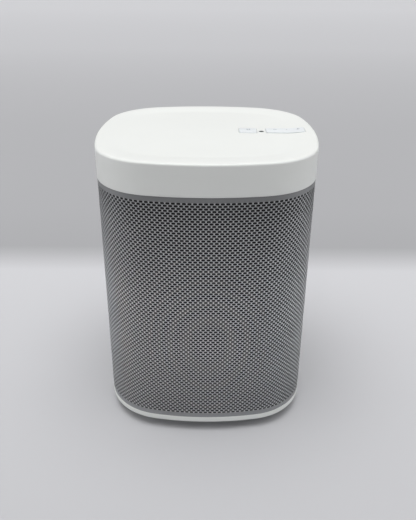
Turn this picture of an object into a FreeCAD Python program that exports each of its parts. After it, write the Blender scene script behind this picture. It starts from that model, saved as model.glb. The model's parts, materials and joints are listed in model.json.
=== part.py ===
import FreeCAD, Part
import math
import os
import re
import Sketcher

# A compact one-woofer smart speaker. Millimetres, +Z up, front towards -Y, origin at the bottom centre.
# Every driving size is a cell of the sheet; expressions below use the cells' names.
# overrun is how far a cutting tool runs past a face, or a fused piece reaches into its neighbour.

Vector = FreeCAD.Vector
OUTPUT_FOLDER = "parts"
QUARTER_TURN = 90.0
FULL_TURN = 360.0
TOUCH = 0.001

SIZES = {
    "overall": dict(
        width=119.7, height=161.45, side_radius=153.0, corner_radius=34.0),
    "tools": dict(
        overrun=1.0, panel_reach=5.0),
    "cap": dict(
        cap_low=144.6, cap_wall=2.4, cap_roof=3.4, cap_edge=1.3, rim_inset=2.6, dish_inset=15.0,
        dish_depth=0.85, cap_boss_radius=4.0, corner_screw_reach=36.0),
    "keys": dict(
        key_gap=0.3, key_proud=0.12, key_front=-1.3, key_back=8.5, play_left=18.0, play_right=27.6,
        rocker_left=33.0, rocker_right=54.2, key_corner=1.0, lip_low=156.5, lip_high=157.5,
        lip_width=0.8, stem_radius=1.2, stem_clear=0.05, rocker_stem_reach=7.0, pivot_height=157.0,
        pivot_radius=0.8, pivot_length=1.3, pivot_clear=0.05, ear_half=2.2, ear_thick=1.2, ear_gap=0.3,
        ear_high=158.0, lamp_x=30.2, lamp_y=2.2, lamp_radius=0.95, lamp_collar=1.5,
        lamp_collar_high=1.0, lamp_clear=0.05, led_half_x=0.8, led_half_y=0.5, led_high=0.6),
    "control board": dict(
        board_left=14.5, board_right=56.4, board_front=-6.2, board_back=13.4, control_low=152.6,
        control_high=154.2, dome_high=0.5, dome_radius=2.0, dome_skin=0.15, frame_low=154.9,
        frame_high=155.9, window_side=1.1, small_screw_radius=0.8, small_head_radius=1.6,
        small_head_high=0.7, small_screw_clear=0.05, small_screw_high=158.7, frame_screw_in=2.0,
        frame_screw_end=4.0, small_hole_high=159.0, small_boss_radius=1.9),
    "cabinet": dict(
        cabinet_inset=1.6, cabinet_wall=3.0, cabinet_low=14.5, cabinet_high=138.0, rim_plane=-40.0,
        baffle_back=-41.0, baffle_front=-46.0, boss_back=57.0, base_boss_radius=3.6,
        base_boss_high=24.0, thread_height=97.0, insert_boss_radius=8.0, insert_boss_front=45.0,
        post_radius=2.8, post_x=38.0, post_low=32.0, post_high=122.0, post_back=50.7,
        edge_boss_low=94.0, edge_boss_high=102.0, edge_boss_in=40.0, edge_boss_out=48.5,
        edge_boss_back=-29.0, side_screw_x=43.4, side_screw_z=98.0, corner_screw_x=29.0,
        corner_screw_low=20.5, corner_screw_high=132.0, baffle_boss_radius=3.4, baffle_boss_back=-28.0,
        grommet_left=-16.0, grommet_right=28.0, grommet_front=40.5, grommet_back=45.5, rail_length=42.0,
        rail_thick=4.0, rail_high=141.5),
    "screws": dict(
        screw_radius=1.5, screw_clear=0.1, head_radius=2.8, head_high=1.6, driver_head_radius=2.2,
        cap_screw_high=147.0, base_screw_high=22.5, base_head_low=5.0, baffle_screw_back=-32.0,
        driver_screw_back=-42.0),
    "woofer": dict(
        woofer_z=60.0, woofer_hole=37.0, flange_radius=42.0, flange_front=-49.0, flange_back=-46.8,
        basket_mouth=36.0, basket_neck=24.0, basket_back=-20.0, basket_floor=-22.0, basket_skin=1.6,
        basket_bore=14.0, neck_step=2.0, neck_clear=0.3, mouth_step=0.4, window_in=26.5,
        window_out=35.0, window_front=-44.0, window_back=-26.0, rib_half=3.2, ledge_front=-24.5,
        woofer_screw_pitch=39.7, cone_rim=31.0, cone_edge=29.0, cone_skin=0.5, cone_front=-49.0,
        coil_radius=9.0, coil_skin=0.3, coil_front=-36.0, coil_back=-14.0, winding_front=-21.5,
        winding_skin=0.2, cap_radius=12.0, cap_front=-42.3, cap_base=-38.3, roll_in=31.0, roll_out=36.0,
        roll_skin=0.5, surround_in=29.5, surround_out=37.3, spider_in=9.4, spider_out=23.0,
        spider_front=-24.9, spider_skin=0.4, spider_wave=0.9, spider_folds=5, spider_lip=1.2,
        plate_bore=9.6, plate_radius=26.0, plate_back=-16.0, magnet_bore=14.0, magnet_radius=30.0,
        magnet_back=-4.0, yoke_radius=28.0, pole_radius=8.6, pole_front=-21.0, terminal_in=27.0,
        terminal_out=33.0, terminal_front=-34.0, terminal_back=-26.0, terminal_half=2.4),
    "tweeter": dict(
        tweeter_z=120.5, tweeter_hole=12.9, faceplate_radius=17.0, faceplate_front=-48.6,
        faceplate_back=-46.6, faceplate_bore=10.4, tweeter_screw_pitch=15.0, horn_radius=13.0,
        dome_base=9.3, dome_front=-50.4, dome_plane=-47.3, dome_thick=0.3, tweeter_coil=9.0,
        tweeter_coil_back=-42.0, yoke_bore=9.9, yoke_outer=12.6, yoke_floor=-36.0, yoke_back=-33.0,
        disc_radius=8.5, disc_front=-44.5, disc_back=-41.5, slug_radius=8.0, suspension_thick=0.25,
        suspension_gap=0.1),
    "grille": dict(
        grille_inset=0.15, grille_sheet=0.8, grille_low=10.0, spine_half=19.0, spine_gap=0.3,
        spine_wall=2.2, spine_clear=0.2),
    "base": dict(
        ring_low=5.8, ring_edge=1.8, spigot_inset=1.3, spigot_wall=2.0, spigot_high=14.4,
        tray_floor=8.3, plinth_inset=11.0, plinth_low=2.2, pad_inset=12.5, pad_width=7.5, pad_high=2.8,
        recess_half=15.0, recess_front=10.0, recess_back=30.0, recess_high=10.5, recess_wall=2.0,
        channel_half=4.5, channel_high=8.2, channel_end=60.0, tray_boss_radius=4.2),
    "power inlet": dict(
        inlet_half=12.0, inlet_front=14.0, inlet_back=26.0, inlet_high=27.0, inlet_clear=0.1, socket_radius=3.9,
        socket_pitch=4.3, socket_high=25.5, waist_share=0.8, pin_radius=1.2, pin_low=13.0, pin_high=30.0),
    "ethernet jack": dict(
        jack_half=8.0, jack_low=21.5, jack_high=35.0, jack_back=57.3, jack_clear=0.2, port_half=5.95,
        port_low=23.4, port_high=31.6, port_front=43.5, latch_half=3.1, latch_high=33.6,
        panel_port_half=6.3, panel_port_low=23.0, panel_port_high=34.0),
    "threaded insert": dict(
        insert_radius=5.0, insert_clear=0.05, insert_front=46.0, insert_back=59.4, thread_radius=2.55,
        thread_front=48.0),
    "boards": dict(
        main_half=43.0, main_low=26.0, main_high=128.0, main_front=36.0, board_thick=1.6,
        supply_half=36.0, supply_low=30.0, supply_high=86.0, supply_front=13.0, spacer_radius=2.6,
        spacer_x=32.0, spacer_low=34.0, spacer_high=82.0, spacer_stud=1.4, spacer_head=2.1,
        spacer_head_high=1.2, board_hole=1.55, board_screw_back=45.0),
    "electronics": dict(
        core_left=-27.0, core_right=-5.0, core_low=44.0, core_high=66.0, core_back=31.0,
        winding_side=2.5, winding_reach=2.0, can_radius=5.0, can_high=34.0, can_x=14.0, can_gap=13.0,
        can_z=42.0, sink_left=14.0, sink_right=34.0, sink_low=50.0, sink_high=84.0, sink_plate=1.5,
        sink_back=49.0, chip_high=1.4, chip_side=3.0, chip_end=8.0, processor_half=8.0,
        processor_low=74.0, processor_high=90.0, fin_thick=1.2, fin_count=5, card_left=-34.0,
        card_right=-12.0, card_low=58.0, card_high=96.0, card_front=40.6, card_thick=1.0, card_edge=2.0,
        card_socket_high=5.0, shield_end=10.0, shield_high=2.0, foam_half=30.0, foam_front=-22.0,
        foam_back=8.0, foam_low=106.0, foam_high=132.0),
    "antennas and cables": dict(
        antenna_thick=0.8, antenna_half=20.0, antenna_low=139.5, antenna_high=152.0,
        antenna_left_x=-46.0, antenna_rear_y=47.4, antenna_clear=0.05, aerial_cable_radius=0.7,
        cable_hole=1.0, cable_left_x=-12.0, cable_rear_x=-8.0, cable_y=43.0, ribbon_left=18.0,
        ribbon_right=26.0, ribbon_thick=0.3, ribbon_start=7.0, ribbon_level=147.0, ribbon_end=125.0,
        ribbon_clear=0.3, grommet_low=134.6, grommet_high=139.0, lead_radius=0.9, lead_bend=4.0,
        lead_half_gap=1.4, cable_start=148.0, cable_turn_y=22.0, cable_turn=146.0, cable_cross_x=-24.0,
        cable_cross_y=34.0, cable_level=143.0, cable_left_bend=110.0, cable_left_end_x=-18.0,
        cable_left_end=88.0, cable_rear_level=146.0, cable_rear_bend=112.0, cable_rear_end_x=-15.0,
        cable_rear_end=90.0, woofer_lead_x=40.0, woofer_lead_rise=12.0, woofer_lead_middle=-12.0,
        woofer_lead_front=-30.0, tweeter_lead_x=-40.0, tweeter_lead_drop=9.0, tweeter_lead_front=-27.0,
        tweeter_lead_end=-5.0, mains_lead_rise=8.0),
}
# The cap's top dips from its rim to a flat middle: how far in and how far down, as fractions.
DISH_STEPS = [(0.0, 0.0), (0.27, 0.38), (0.6, 0.78), (1.0, 1.0)]

document = FreeCAD.newDocument("smart_speaker")
sheet = document.addObject("Spreadsheet::Sheet", "sizes")
subparts = []


def fill_sheet():
    row = 0
    for group, cells in SIZES.items():
        row += 1
        sheet.set(f"A{row}", group)
        for alias, number in cells.items():
            row += 1
            sheet.set(f"A{row}", alias)
            sheet.set(f"B{row}", str(number))
            sheet.setAlias(f"B{row}", alias)
    document.recompute()


ALIASES = {alias for cells in SIZES.values() for alias in cells}


def full(expression):
    """The expression with the sheet's name in front of each cell's name."""
    return re.sub(r"[a-z_]+", lambda word: f"sizes.{word[0]}" if word[0] in ALIASES
                  else word[0], str(expression))


def value(expression):
    return float(sheet.evalExpression(full(expression)))


def bind(thing, **expressions):
    for name, expression in expressions.items():
        thing.setExpression(name, full(expression))


def place(thing, x="0", y="0", z="0", axis=None, angle=0.0):
    if axis:
        thing.Placement = FreeCAD.Placement(Vector(), FreeCAD.Rotation(Vector(*axis), angle))
    for name, expression in zip("xyz", (x, y, z)):
        thing.setExpression(f".Placement.Base.{name}", full(expression))
    return thing


def keep(thing, label):
    """Name a finished sub-part: the label is also its file's name."""
    thing.Label = label
    subparts.append(thing)
    return thing


# ---------------------------------------------------------------- primitives and booleans

def box(name, x, y, z):
    """A block between pairs of low and high expressions."""
    block = document.addObject("Part::Box", name)
    bind(block, Length=f"({x[1]}) - ({x[0]})", Width=f"({y[1]}) - ({y[0]})", Height=f"({z[1]}) - ({z[0]})")
    return place(block, x[0], y[0], z[0])


def post(name, radius, x, y, low, high):
    """An upright cylinder."""
    rod = document.addObject("Part::Cylinder", name)
    bind(rod, Radius=radius, Height=f"({high}) - ({low})")
    return place(rod, x, y, low)


def rod_along_y(name, radius, x, z, front, back):
    rod = document.addObject("Part::Cylinder", name)
    bind(rod, Radius=radius, Height=f"({back}) - ({front})")
    return place(rod, x, front, z, (1, 0, 0), -QUARTER_TURN)


def fuse(name, *pieces):
    joined = document.addObject("Part::MultiFuse", name)
    joined.Shapes = list(pieces)
    return joined


def cut(name, base, *tools):
    result = document.addObject("Part::Cut", name)
    result.Base = base
    result.Tool = tools[0] if len(tools) == 1 else fuse(f"{name}_tools", *tools)
    return result


def common(name, base, tool):
    result = document.addObject("Part::Common", name)
    result.Base = base
    result.Tool = tool
    return result


def group(name, *pieces):
    """Separate solids that share one node."""
    bundle = document.addObject("Part::Compound", name)
    bundle.Links = list(pieces)
    return bundle


# ---------------------------------------------------------------- sketches and bodies

def body(label):
    return document.addObject("PartDesign::Body", label)


def plane(owner, role):
    return [feature for feature in owner.Origin.OriginFeatures if feature.Role == role][0]


def sketch_on(owner, name, role, offset="0"):
    sketch = owner.newObject("Sketcher::SketchObject", name)
    sketch.AttachmentSupport = [(plane(owner, role), "")]
    sketch.MapMode = "FlatFace"
    sketch.setExpression(".AttachmentOffset.Base.z", full(offset))
    return sketch


def constrain(sketch, expression, *parts):
    index = sketch.addConstraint(Sketcher.Constraint(*parts, value(expression)))
    sketch.setExpression(f"Constraints[{index}]", full(expression))


def plan_frame():
    """Corner centre, side centre offset and half angle of a side arc, for drawing the plan outline."""
    offset = value("side_radius - width / 2")
    reach = value("side_radius - corner_radius")
    corner = (math.sqrt(2 * reach ** 2 - offset ** 2) - offset) / 2
    return corner, offset, math.atan2(corner, corner + offset)


def plan_outline(owner, name, inset, level):
    """The speaker's plan, a square of bowed sides and round corners, drawn inset at a level."""
    sketch = sketch_on(owner, name, "XY_Plane", level)
    corner, offset, half = plan_frame()
    side_radius, corner_radius = value(f"side_radius - ({inset})"), value(f"corner_radius - ({inset})")
    sides, corners = [], []
    for quarter in range(4):
        turn = quarter * math.pi / 2
        centre = Vector(-offset * math.cos(turn), -offset * math.sin(turn), 0)
        circle = Part.Circle(centre, Vector(0, 0, 1), side_radius)
        sides.append(sketch.addGeometry(Part.ArcOfCircle(circle, turn - half, turn + half), False))
        diagonal = turn + math.pi / 4
        centre = Vector(math.cos(diagonal), math.sin(diagonal), 0) * corner * math.sqrt(2)
        circle = Part.Circle(centre, Vector(0, 0, 1), corner_radius)
        corners.append(sketch.addGeometry(Part.ArcOfCircle(circle, turn + half, turn + math.pi / 2 - half),
                                          False))
    for quarter in range(4):
        after = (quarter + 1) % 4
        sketch.addConstraint(Sketcher.Constraint("Tangent", sides[quarter], 2, corners[quarter], 1))
        sketch.addConstraint(Sketcher.Constraint("Tangent", corners[quarter], 2, sides[after], 1))
    for quarter in range(4):
        on_x_axis = quarter % 2 == 0
        sketch.addConstraint(Sketcher.Constraint("PointOnObject", sides[quarter], 3, -1 if on_x_axis
                                                 else -2))
        constrain(sketch, f"side_radius - ({inset})", "Radius", sides[quarter])
        constrain(sketch, f"corner_radius - ({inset})", "Radius", corners[quarter])
        ends = (sides[quarter], 3, -1, 1) if quarter < 2 else (-1, 1, sides[quarter], 3)
        constrain(sketch, "side_radius - width / 2", "DistanceX" if on_x_axis else "DistanceY", *ends)
    return sketch


def profile(sketch, points, arcs=None):
    """A closed outline through points of expressions; arcs maps an edge's number to its signed radius,
    positive where the arc bulges to the right of the way along it."""
    spots = [Vector(value(x), value(y), 0) for x, y in points]
    edges = []
    for index, start in enumerate(spots):
        end = spots[(index + 1) % len(spots)]
        if arcs and index in arcs:
            edges.append(sketch.addGeometry(arc_between(start, end, value(arcs[index])), False))
        else:
            edges.append(sketch.addGeometry(Part.LineSegment(start, end), False))
    for index, (x, y) in enumerate(points):
        edge, before = edges[index], edges[index - 1]
        backwards = arcs is not None and value(arcs.get(index, 0)) < 0
        first = 2 if backwards else 1
        last_before = 1 if arcs is not None and value(arcs.get((index - 1) % len(points), 0)) < 0 else 2
        sketch.addConstraint(Sketcher.Constraint("Coincident", before, last_before, edge, first))
        constrain(sketch, x, "DistanceX", -1, 1, edge, first)
        constrain(sketch, y, "DistanceY", -1, 1, edge, first)
        if arcs and index in arcs:
            constrain(sketch, f"abs({arcs[index]})", "Radius", edge)
    return sketch


def arc_between(start, end, radius):
    """The shorter arc from start to end; a positive radius bulges to the right of the way along it."""
    across = end - start
    half = across.Length / 2
    rise = math.sqrt(max(radius ** 2 - half ** 2, 0.0))
    left = Vector(-across.y, across.x, 0).normalize()
    side = 1 if radius > 0 else -1
    centre = (start + end) * 0.5 + left * rise * side
    circle = Part.Circle(centre, Vector(0, 0, 1), abs(radius))
    first, last = (start, end) if radius > 0 else (end, start)
    return Part.ArcOfCircle(circle, circle.parameter(first), circle.parameter(last))


def rectangle(sketch, x, y):
    return profile(sketch, [(x[0], y[0]), (x[1], y[0]), (x[1], y[1]), (x[0], y[1])])


def pad(owner, sketch, length):
    feature = owner.newObject("PartDesign::Pad", f"{sketch.Name}_pad")
    feature.Profile = sketch
    bind(feature, Length=length)
    document.recompute()
    return feature


def pocket(owner, sketch, depth, upward=True):
    """Cut along the sketch's own normal when upward, or against it."""
    before = owner.Shape.Volume
    feature = owner.newObject("PartDesign::Pocket", f"{sketch.Name}_pocket")
    feature.Profile = sketch
    feature.Reversed = upward
    bind(feature, Length=depth)
    document.recompute()
    if owner.Shape.Volume >= before - TOUCH:
        raise RuntimeError(f"{feature.Name} cuts nothing")
    return feature


def round_edges(owner, feature, radius, wanted):
    """Fillet the feature's edges that the test picks."""
    names = [f"Edge{index}" for index, edge in enumerate(feature.Shape.Edges, 1) if wanted(edge)]
    fillet = owner.newObject("PartDesign::Fillet", f"{feature.Name}_round")
    fillet.Base = (feature, names)
    bind(fillet, Radius=radius)
    document.recompute()
    return fillet


def revolve(owner, sketch):
    """Turn a profile of (radius, depth) about the body's own Y axis."""
    feature = owner.newObject("PartDesign::Revolution", f"{sketch.Name}_turned")
    feature.Profile = sketch
    feature.ReferenceAxis = (sketch, ["V_Axis"])
    feature.Angle = FULL_TURN
    document.recompute()
    return feature


def turned(label, points, height, arcs=None):
    """A round piece whose axis runs front to back at a given height."""
    piece = body(label)
    revolve(piece, profile(sketch_on(piece, f"{label}_profile", "XY_Plane"), points, arcs))
    place(piece, z=height)
    return piece


def ring(label, inner, outer, front, back, height):
    return turned(label, [(inner, front), (outer, front), (outer, back), (inner, back)], height)


def posts(name, radius, places, low, high):
    """Upright cylinders at several places."""
    return [post(f"{name}_{i}", radius, x, y, low, high) for i, (x, y) in enumerate(places)]


def rods(name, radius, places, front, back):
    """Cylinders lying front to back at several places."""
    return [rod_along_y(f"{name}_{i}", radius, x, z, front, back) for i, (x, z) in enumerate(places)]


# ---------------------------------------------------------------- screws, tubes

def screw_down(name, x, y, head_low, shaft_high, sizes):
    """A screw driven upwards: its head is below its shaft."""
    shaft_radius, head_radius, head_high = sizes
    head = post(f"{name}_head", head_radius, x, y, head_low, f"{head_low} + {head_high}")
    shaft = post(f"{name}_shaft", shaft_radius, x, y, head_low, shaft_high)
    return fuse(name, head, shaft)


def screw_back(name, x, z, seat, shaft_back, head_radius="head_radius"):
    """A screw driven from the front: its head stands in front of the seat."""
    head = rod_along_y(f"{name}_head", head_radius, x, z, f"{seat} - head_high", seat)
    shaft = rod_along_y(f"{name}_shaft", "screw_radius", x, z, f"{seat} - head_high", shaft_back)
    return fuse(name, head, shaft)


def screws_down(name, places, head_low, shaft_high, sizes):
    return [screw_down(f"{name}_{i}", x, y, head_low, shaft_high, sizes) for i, (x, y) in enumerate(places)]


def screws_back(name, places, seat, shaft_back, head_radius="head_radius"):
    return [screw_back(f"{name}_{i}", x, z, seat, shaft_back, head_radius)
            for i, (x, z) in enumerate(places)]


LARGE_SCREW = ("screw_radius", "head_radius", "head_high")
SMALL_SCREW = ("small_screw_radius", "small_head_radius", "small_head_high")
SCREW_HOLE = "screw_radius + screw_clear"
SMALL_SCREW_HOLE = "small_screw_radius + small_screw_clear"
# The most of a straight run that a bend at its end may take.
BEND_SHARE = 0.45


def bent_tube(name, points, radius, bend):
    """A round wire along straight runs joined by tangent arcs."""
    spots = [Vector(*[value(number) for number in point]) for point in points]
    edges, cursor = [], spots[0]
    for before, corner, after in zip(spots, spots[1:], spots[2:]):
        towards, away = (before - corner).normalize(), (after - corner).normalize()
        turn = math.pi - towards.getAngle(away)
        size = min(value(bend), BEND_SHARE * min((before - corner).Length,
                                                 (after - corner).Length) / math.tan(turn / 2))
        reach = size * math.tan(turn / 2)
        start, end = corner + towards * reach, corner + away * reach
        centre = corner + (towards + away).normalize() * (size / math.cos(turn / 2))
        middle = centre + (corner - centre).normalize() * size
        edges += [Part.LineSegment(cursor, start).toShape(), Part.Arc(start, middle, end).toShape()]
        cursor = end
    edges.append(Part.LineSegment(cursor, spots[-1]).toShape())
    path = Part.Wire(edges)
    direction = (spots[1] - spots[0]).normalize()
    section = Part.Wire([Part.Circle(spots[0], direction, value(radius)).toShape()])
    tube = document.addObject("Part::Feature", name)
    tube.Shape = path.makePipeShell([section], True, False)
    return tube


# ---------------------------------------------------------------- cap and controls

def corner_places():
    """The four corners where the cap and the base are screwed to the cabinet."""
    reach = "corner_screw_reach"
    return [(reach, reach), (f"-{reach}", reach), (f"-{reach}", f"-{reach}"), (reach, f"-{reach}")]


def control_screw_places():
    front, back = "(board_front + key_front - lip_width) / 2", "(board_back + key_back + lip_width) / 2"
    return [("play_left + frame_screw_in", front), ("play_left + frame_screw_in", back),
            ("rocker_right - frame_screw_end", front), ("rocker_right - frame_screw_end", back)]


def cap_blank():
    """The cap's outer form with its rounded rim and shallow dish, still solid."""
    blank = body("cap_blank")
    column = pad(blank, plan_outline(blank, "cap_plan", "0", "cap_low"), "height - cap_low")
    top = value("height") - TOUCH
    round_edges(blank, column, "cap_edge", lambda edge: edge.BoundBox.ZMin > top)
    steps = []
    for index, (inwards, down) in enumerate(DISH_STEPS):
        inset = f"rim_inset + {inwards} * (dish_inset - rim_inset)"
        steps.append(plan_outline(blank, f"dish_step_{index}", inset, f"height - {down} * dish_depth"))
    dish = blank.newObject("PartDesign::SubtractiveLoft", "dish")
    dish.Profile = steps[0]
    dish.Sections = steps[1:]
    document.recompute()
    return blank


def key_shaft(name, left, right, gap, low, high):
    """The rounded-corner column of a key, or of its opening when gap widens it."""
    column = box(f"{name}_column", (f"{left} - {gap}", f"{right} + {gap}"),
                 (f"key_front - {gap}", f"key_back + {gap}"), (low, high))
    rounded = document.addObject("Part::Fillet", name)
    rounded.Base = column
    document.recompute()
    radius = value(f"key_corner + {gap}")
    upright = [i + 1 for i, edge in enumerate(column.Shape.Edges)
               if edge.BoundBox.ZLength > value("key_gap")]
    rounded.Edges = [(edge, radius, radius) for edge in upright]
    column.Visibility = False
    return rounded


def make_cap(blank):
    hollow = body("cap_hollow")
    pad(hollow, plan_outline(hollow, "cap_inside", "cap_wall", "cap_low - cap_wall"),
        "height - cap_roof - cap_low + cap_wall")
    bosses = posts("cap_boss", "cap_boss_radius", corner_places(), "cabinet_high",
                   "height - cap_roof + cap_wall / 2")
    bosses += posts("frame_boss", "small_boss_radius", control_screw_places(), "frame_high",
                    "height - cap_roof + cap_wall / 2")
    pilots = posts("cap_pilot", SCREW_HOLE, corner_places(), "cabinet_high - overrun",
                   "cap_screw_high + overrun")
    pilots += posts("frame_pilot", SMALL_SCREW_HOLE, control_screw_places(), "frame_low", "small_hole_high")
    above = "height + overrun"
    play = key_shaft("play_opening", "play_left", "play_right", "key_gap", "frame_high", above)
    rocker = key_shaft("rocker_opening", "rocker_left", "rocker_right", "key_gap", "frame_high", above)
    lamp = post("lamp_opening", "lamp_radius + lamp_clear", "lamp_x", "lamp_y", "frame_high", above)
    shell = fuse("cap_with_bosses", cut("cap_shell", blank, hollow), *bosses)
    keep(cut("cap", shell, *pilots, play, rocker, lamp), "top_cap")


def key_lip(name, left, right):
    """The retaining lip that keeps a key from lifting out of its opening."""
    return box(name, (f"{left} - lip_width", f"{right} + lip_width"),
               ("key_front - lip_width", "key_back + lip_width"), ("lip_low", "lip_high"))


def key_middle():
    return "(key_front + key_back) / 2"


def key_stem(name, x):
    return post(name, "stem_radius", x, key_middle(), "control_high + dome_high + stem_clear", "lip_high")


def make_keys(blank):
    tops = {}
    for name, left, right in (("play", "play_left", "play_right"),
                              ("rocker", "rocker_left", "rocker_right")):
        column = key_shaft(f"{name}_key_column", left, right, "0", "lip_low - key_proud",
                           "height + overrun")
        tops[name] = common(f"{name}_key_top", blank, column)
        place(tops[name], z="key_proud")
    play_x = "(play_left + play_right) / 2"
    play = fuse("play_key", tops["play"], key_lip("play_lip", "play_left", "play_right"),
                key_stem("play_stem", play_x))
    keep(play, "play_pause_key")
    rocker_x = "(rocker_left + rocker_right) / 2"
    stems = [key_stem(f"rocker_stem_{sign}", f"{rocker_x} {sign} rocker_stem_reach") for sign in "+-"]
    trunnion = rod_along_y("rocker_trunnion", "pivot_radius", rocker_x, "pivot_height",
                           "key_front - lip_width - pivot_length", "key_back + lip_width + pivot_length")
    rocker = fuse("rocker", tops["rocker"], key_lip("rocker_lip", "rocker_left", "rocker_right"), trunnion,
                  *stems)
    keep(rocker, "volume_rocker")
    pipe = fuse("light_pipe", post("pipe_rod", "lamp_radius", "lamp_x", "lamp_y",
                                   "control_high + led_high + stem_clear", "height - dish_depth"),
                post("pipe_collar", "lamp_collar", "lamp_x", "lamp_y",
                     "height - cap_roof - lamp_collar_high", "height - cap_roof"))
    keep(pipe, "status_light_pipe")


def window(name, left, right):
    side = "window_side"
    return box(name, (f"{left} - {side}", f"{right} + {side}"),
               (f"key_front - {side}", f"key_back + {side}"),
               ("frame_low - overrun", "frame_high + overrun"))


def make_key_frame():
    rocker_x = "(rocker_left + rocker_right) / 2"
    plate = box("key_frame_plate", ("board_left", "board_right"), ("board_front", "board_back"),
                ("frame_low", "frame_high"))
    ears = []
    for name, near in (("front", "key_front - lip_width - ear_gap - ear_thick"),
                       ("back", "key_back + lip_width + ear_gap")):
        ears.append(box(f"ear_{name}", (f"{rocker_x} - ear_half", f"{rocker_x} + ear_half"),
                        (near, f"{near} + ear_thick"), ("frame_low", "ear_high")))
    feet = posts("frame_foot", "small_boss_radius", control_screw_places(), "control_high", "frame_low")
    holes = posts("frame_hole", SMALL_SCREW_HOLE, control_screw_places(), "control_high - overrun",
                  "frame_high + overrun")
    bearing = rod_along_y("pivot_hole", "pivot_radius + pivot_clear", rocker_x, "pivot_height",
                          "board_front", "board_back")
    lamp = post("frame_lamp_hole", "lamp_radius + lamp_clear", "lamp_x", "lamp_y", "frame_low - overrun",
                "frame_high + overrun")
    solid = fuse("key_frame_solid", cut("key_frame_windows", plate,
                                        window("play_window", "play_left", "play_right"),
                                        window("rocker_window", "rocker_left", "rocker_right")), *ears,
                 *feet)
    keep(cut("key_carrier", solid, bearing, lamp, *holes), "key_frame")


def snap_dome(name, x):
    """A thin pressed-metal dome that clicks when a key's stem flattens it."""
    dome = body(name)
    base = "control_high"
    radius = "((dome_radius ^ 2 + (dome_high - dome_skin) ^ 2) / (2 * (dome_high - dome_skin)))"
    points = [("0", "dome_high - dome_skin"), ("dome_radius", "0"), ("dome_radius", "dome_skin"),
              ("0", "dome_high")]
    section = sketch_on(dome, f"{name}_profile", "XZ_Plane")
    profile(section, points, {0: f"-{radius}", 2: radius})
    revolve(dome, section)
    return place(dome, x, key_middle(), base)


def make_control_board():
    board = box("control_plate", ("board_left", "board_right"), ("board_front", "board_back"),
                ("control_low", "control_high"))
    holes = posts("control_hole", SMALL_SCREW_HOLE, control_screw_places(), "control_low - overrun",
                  "control_high + overrun")
    keep(cut("control_pcb", board, *holes), "control_board")
    keep(snap_dome("play_dome", "(play_left + play_right) / 2"), "play_snap_dome")
    rocker_x = "(rocker_left + rocker_right) / 2"
    domes = [snap_dome(f"volume_dome_{name}", f"{rocker_x} {sign} rocker_stem_reach")
             for name, sign in (("up", "+"), ("down", "-"))]
    keep(group("volume_domes", *domes), "volume_snap_domes")
    keep(box("led", ("lamp_x - led_half_x", "lamp_x + led_half_x"),
             ("lamp_y - led_half_y", "lamp_y + led_half_y"), ("control_high", "control_high + led_high")),
         "status_led")
    screws = screws_down("control_screw", control_screw_places(), "control_low - small_head_high",
                         "small_screw_high", SMALL_SCREW)
    keep(group("control_fixings", *screws), "control_screws")


# ---------------------------------------------------------------- grille, spine, base

def make_grille():
    """One wrapped sheet whose two ends stop at the rear spine."""
    grille = body("grille_sheet_body")
    pad(grille, plan_outline(grille, "grille_outside", "grille_inset", "grille_low"),
        "cap_low - grille_low")
    pocket(grille, plan_outline(grille, "grille_inside", "grille_inset + grille_sheet", "grille_low"),
           "cap_low - grille_low")
    slot = rectangle(sketch_on(grille, "grille_slot", "XY_Plane", "grille_low"),
                     ("-spine_half - spine_gap", "spine_half + spine_gap"), ("0", "width"))
    pocket(grille, slot, "cap_low - grille_low")
    keep(grille, "grille")


def make_rear_panel():
    panel = body("rear_spine")
    pad(panel, plan_outline(panel, "spine_outside", "0", "grille_low"), "cap_low - grille_low")
    pocket(panel, plan_outline(panel, "spine_inside", "spine_wall", "grille_low"), "cap_low - grille_low")
    for name, x in (("left", ("-width", "-spine_half")), ("right", ("spine_half", "width"))):
        side = rectangle(sketch_on(panel, f"spine_{name}", "XY_Plane", "grille_low"), x,
                         ("-width", "width"))
        pocket(panel, side, "cap_low - grille_low")
    front = rectangle(sketch_on(panel, "spine_front", "XY_Plane", "grille_low"), ("-width", "width"),
                      ("-width", "0"))
    pocket(panel, front, "cap_low - grille_low")
    port = box("panel_port", ("-panel_port_half", "panel_port_half"), ("boss_back - panel_reach", "width"),
               ("panel_port_low", "panel_port_high"))
    thread = rod_along_y("panel_thread", "insert_radius + insert_clear", "0", "thread_height",
                         "boss_back - panel_reach", "width")
    keep(cut("rear_spine_panel", panel, port, thread), "rear_panel")


def spine_relief(name, low, high):
    """What the rear panel needs cut away from a piece that stands behind it."""
    core = body(f"{name}_core")
    pad(core, plan_outline(core, f"{name}_plan", "spine_wall + spine_clear", f"{low} - overrun"),
        f"{high} - {low} + 2 * overrun")
    slab = box(f"{name}_slab", ("-spine_half - spine_clear", "spine_half + spine_clear"),
               ("width / 4", "width"), (low, high))
    return cut(name, slab, core)


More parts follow.
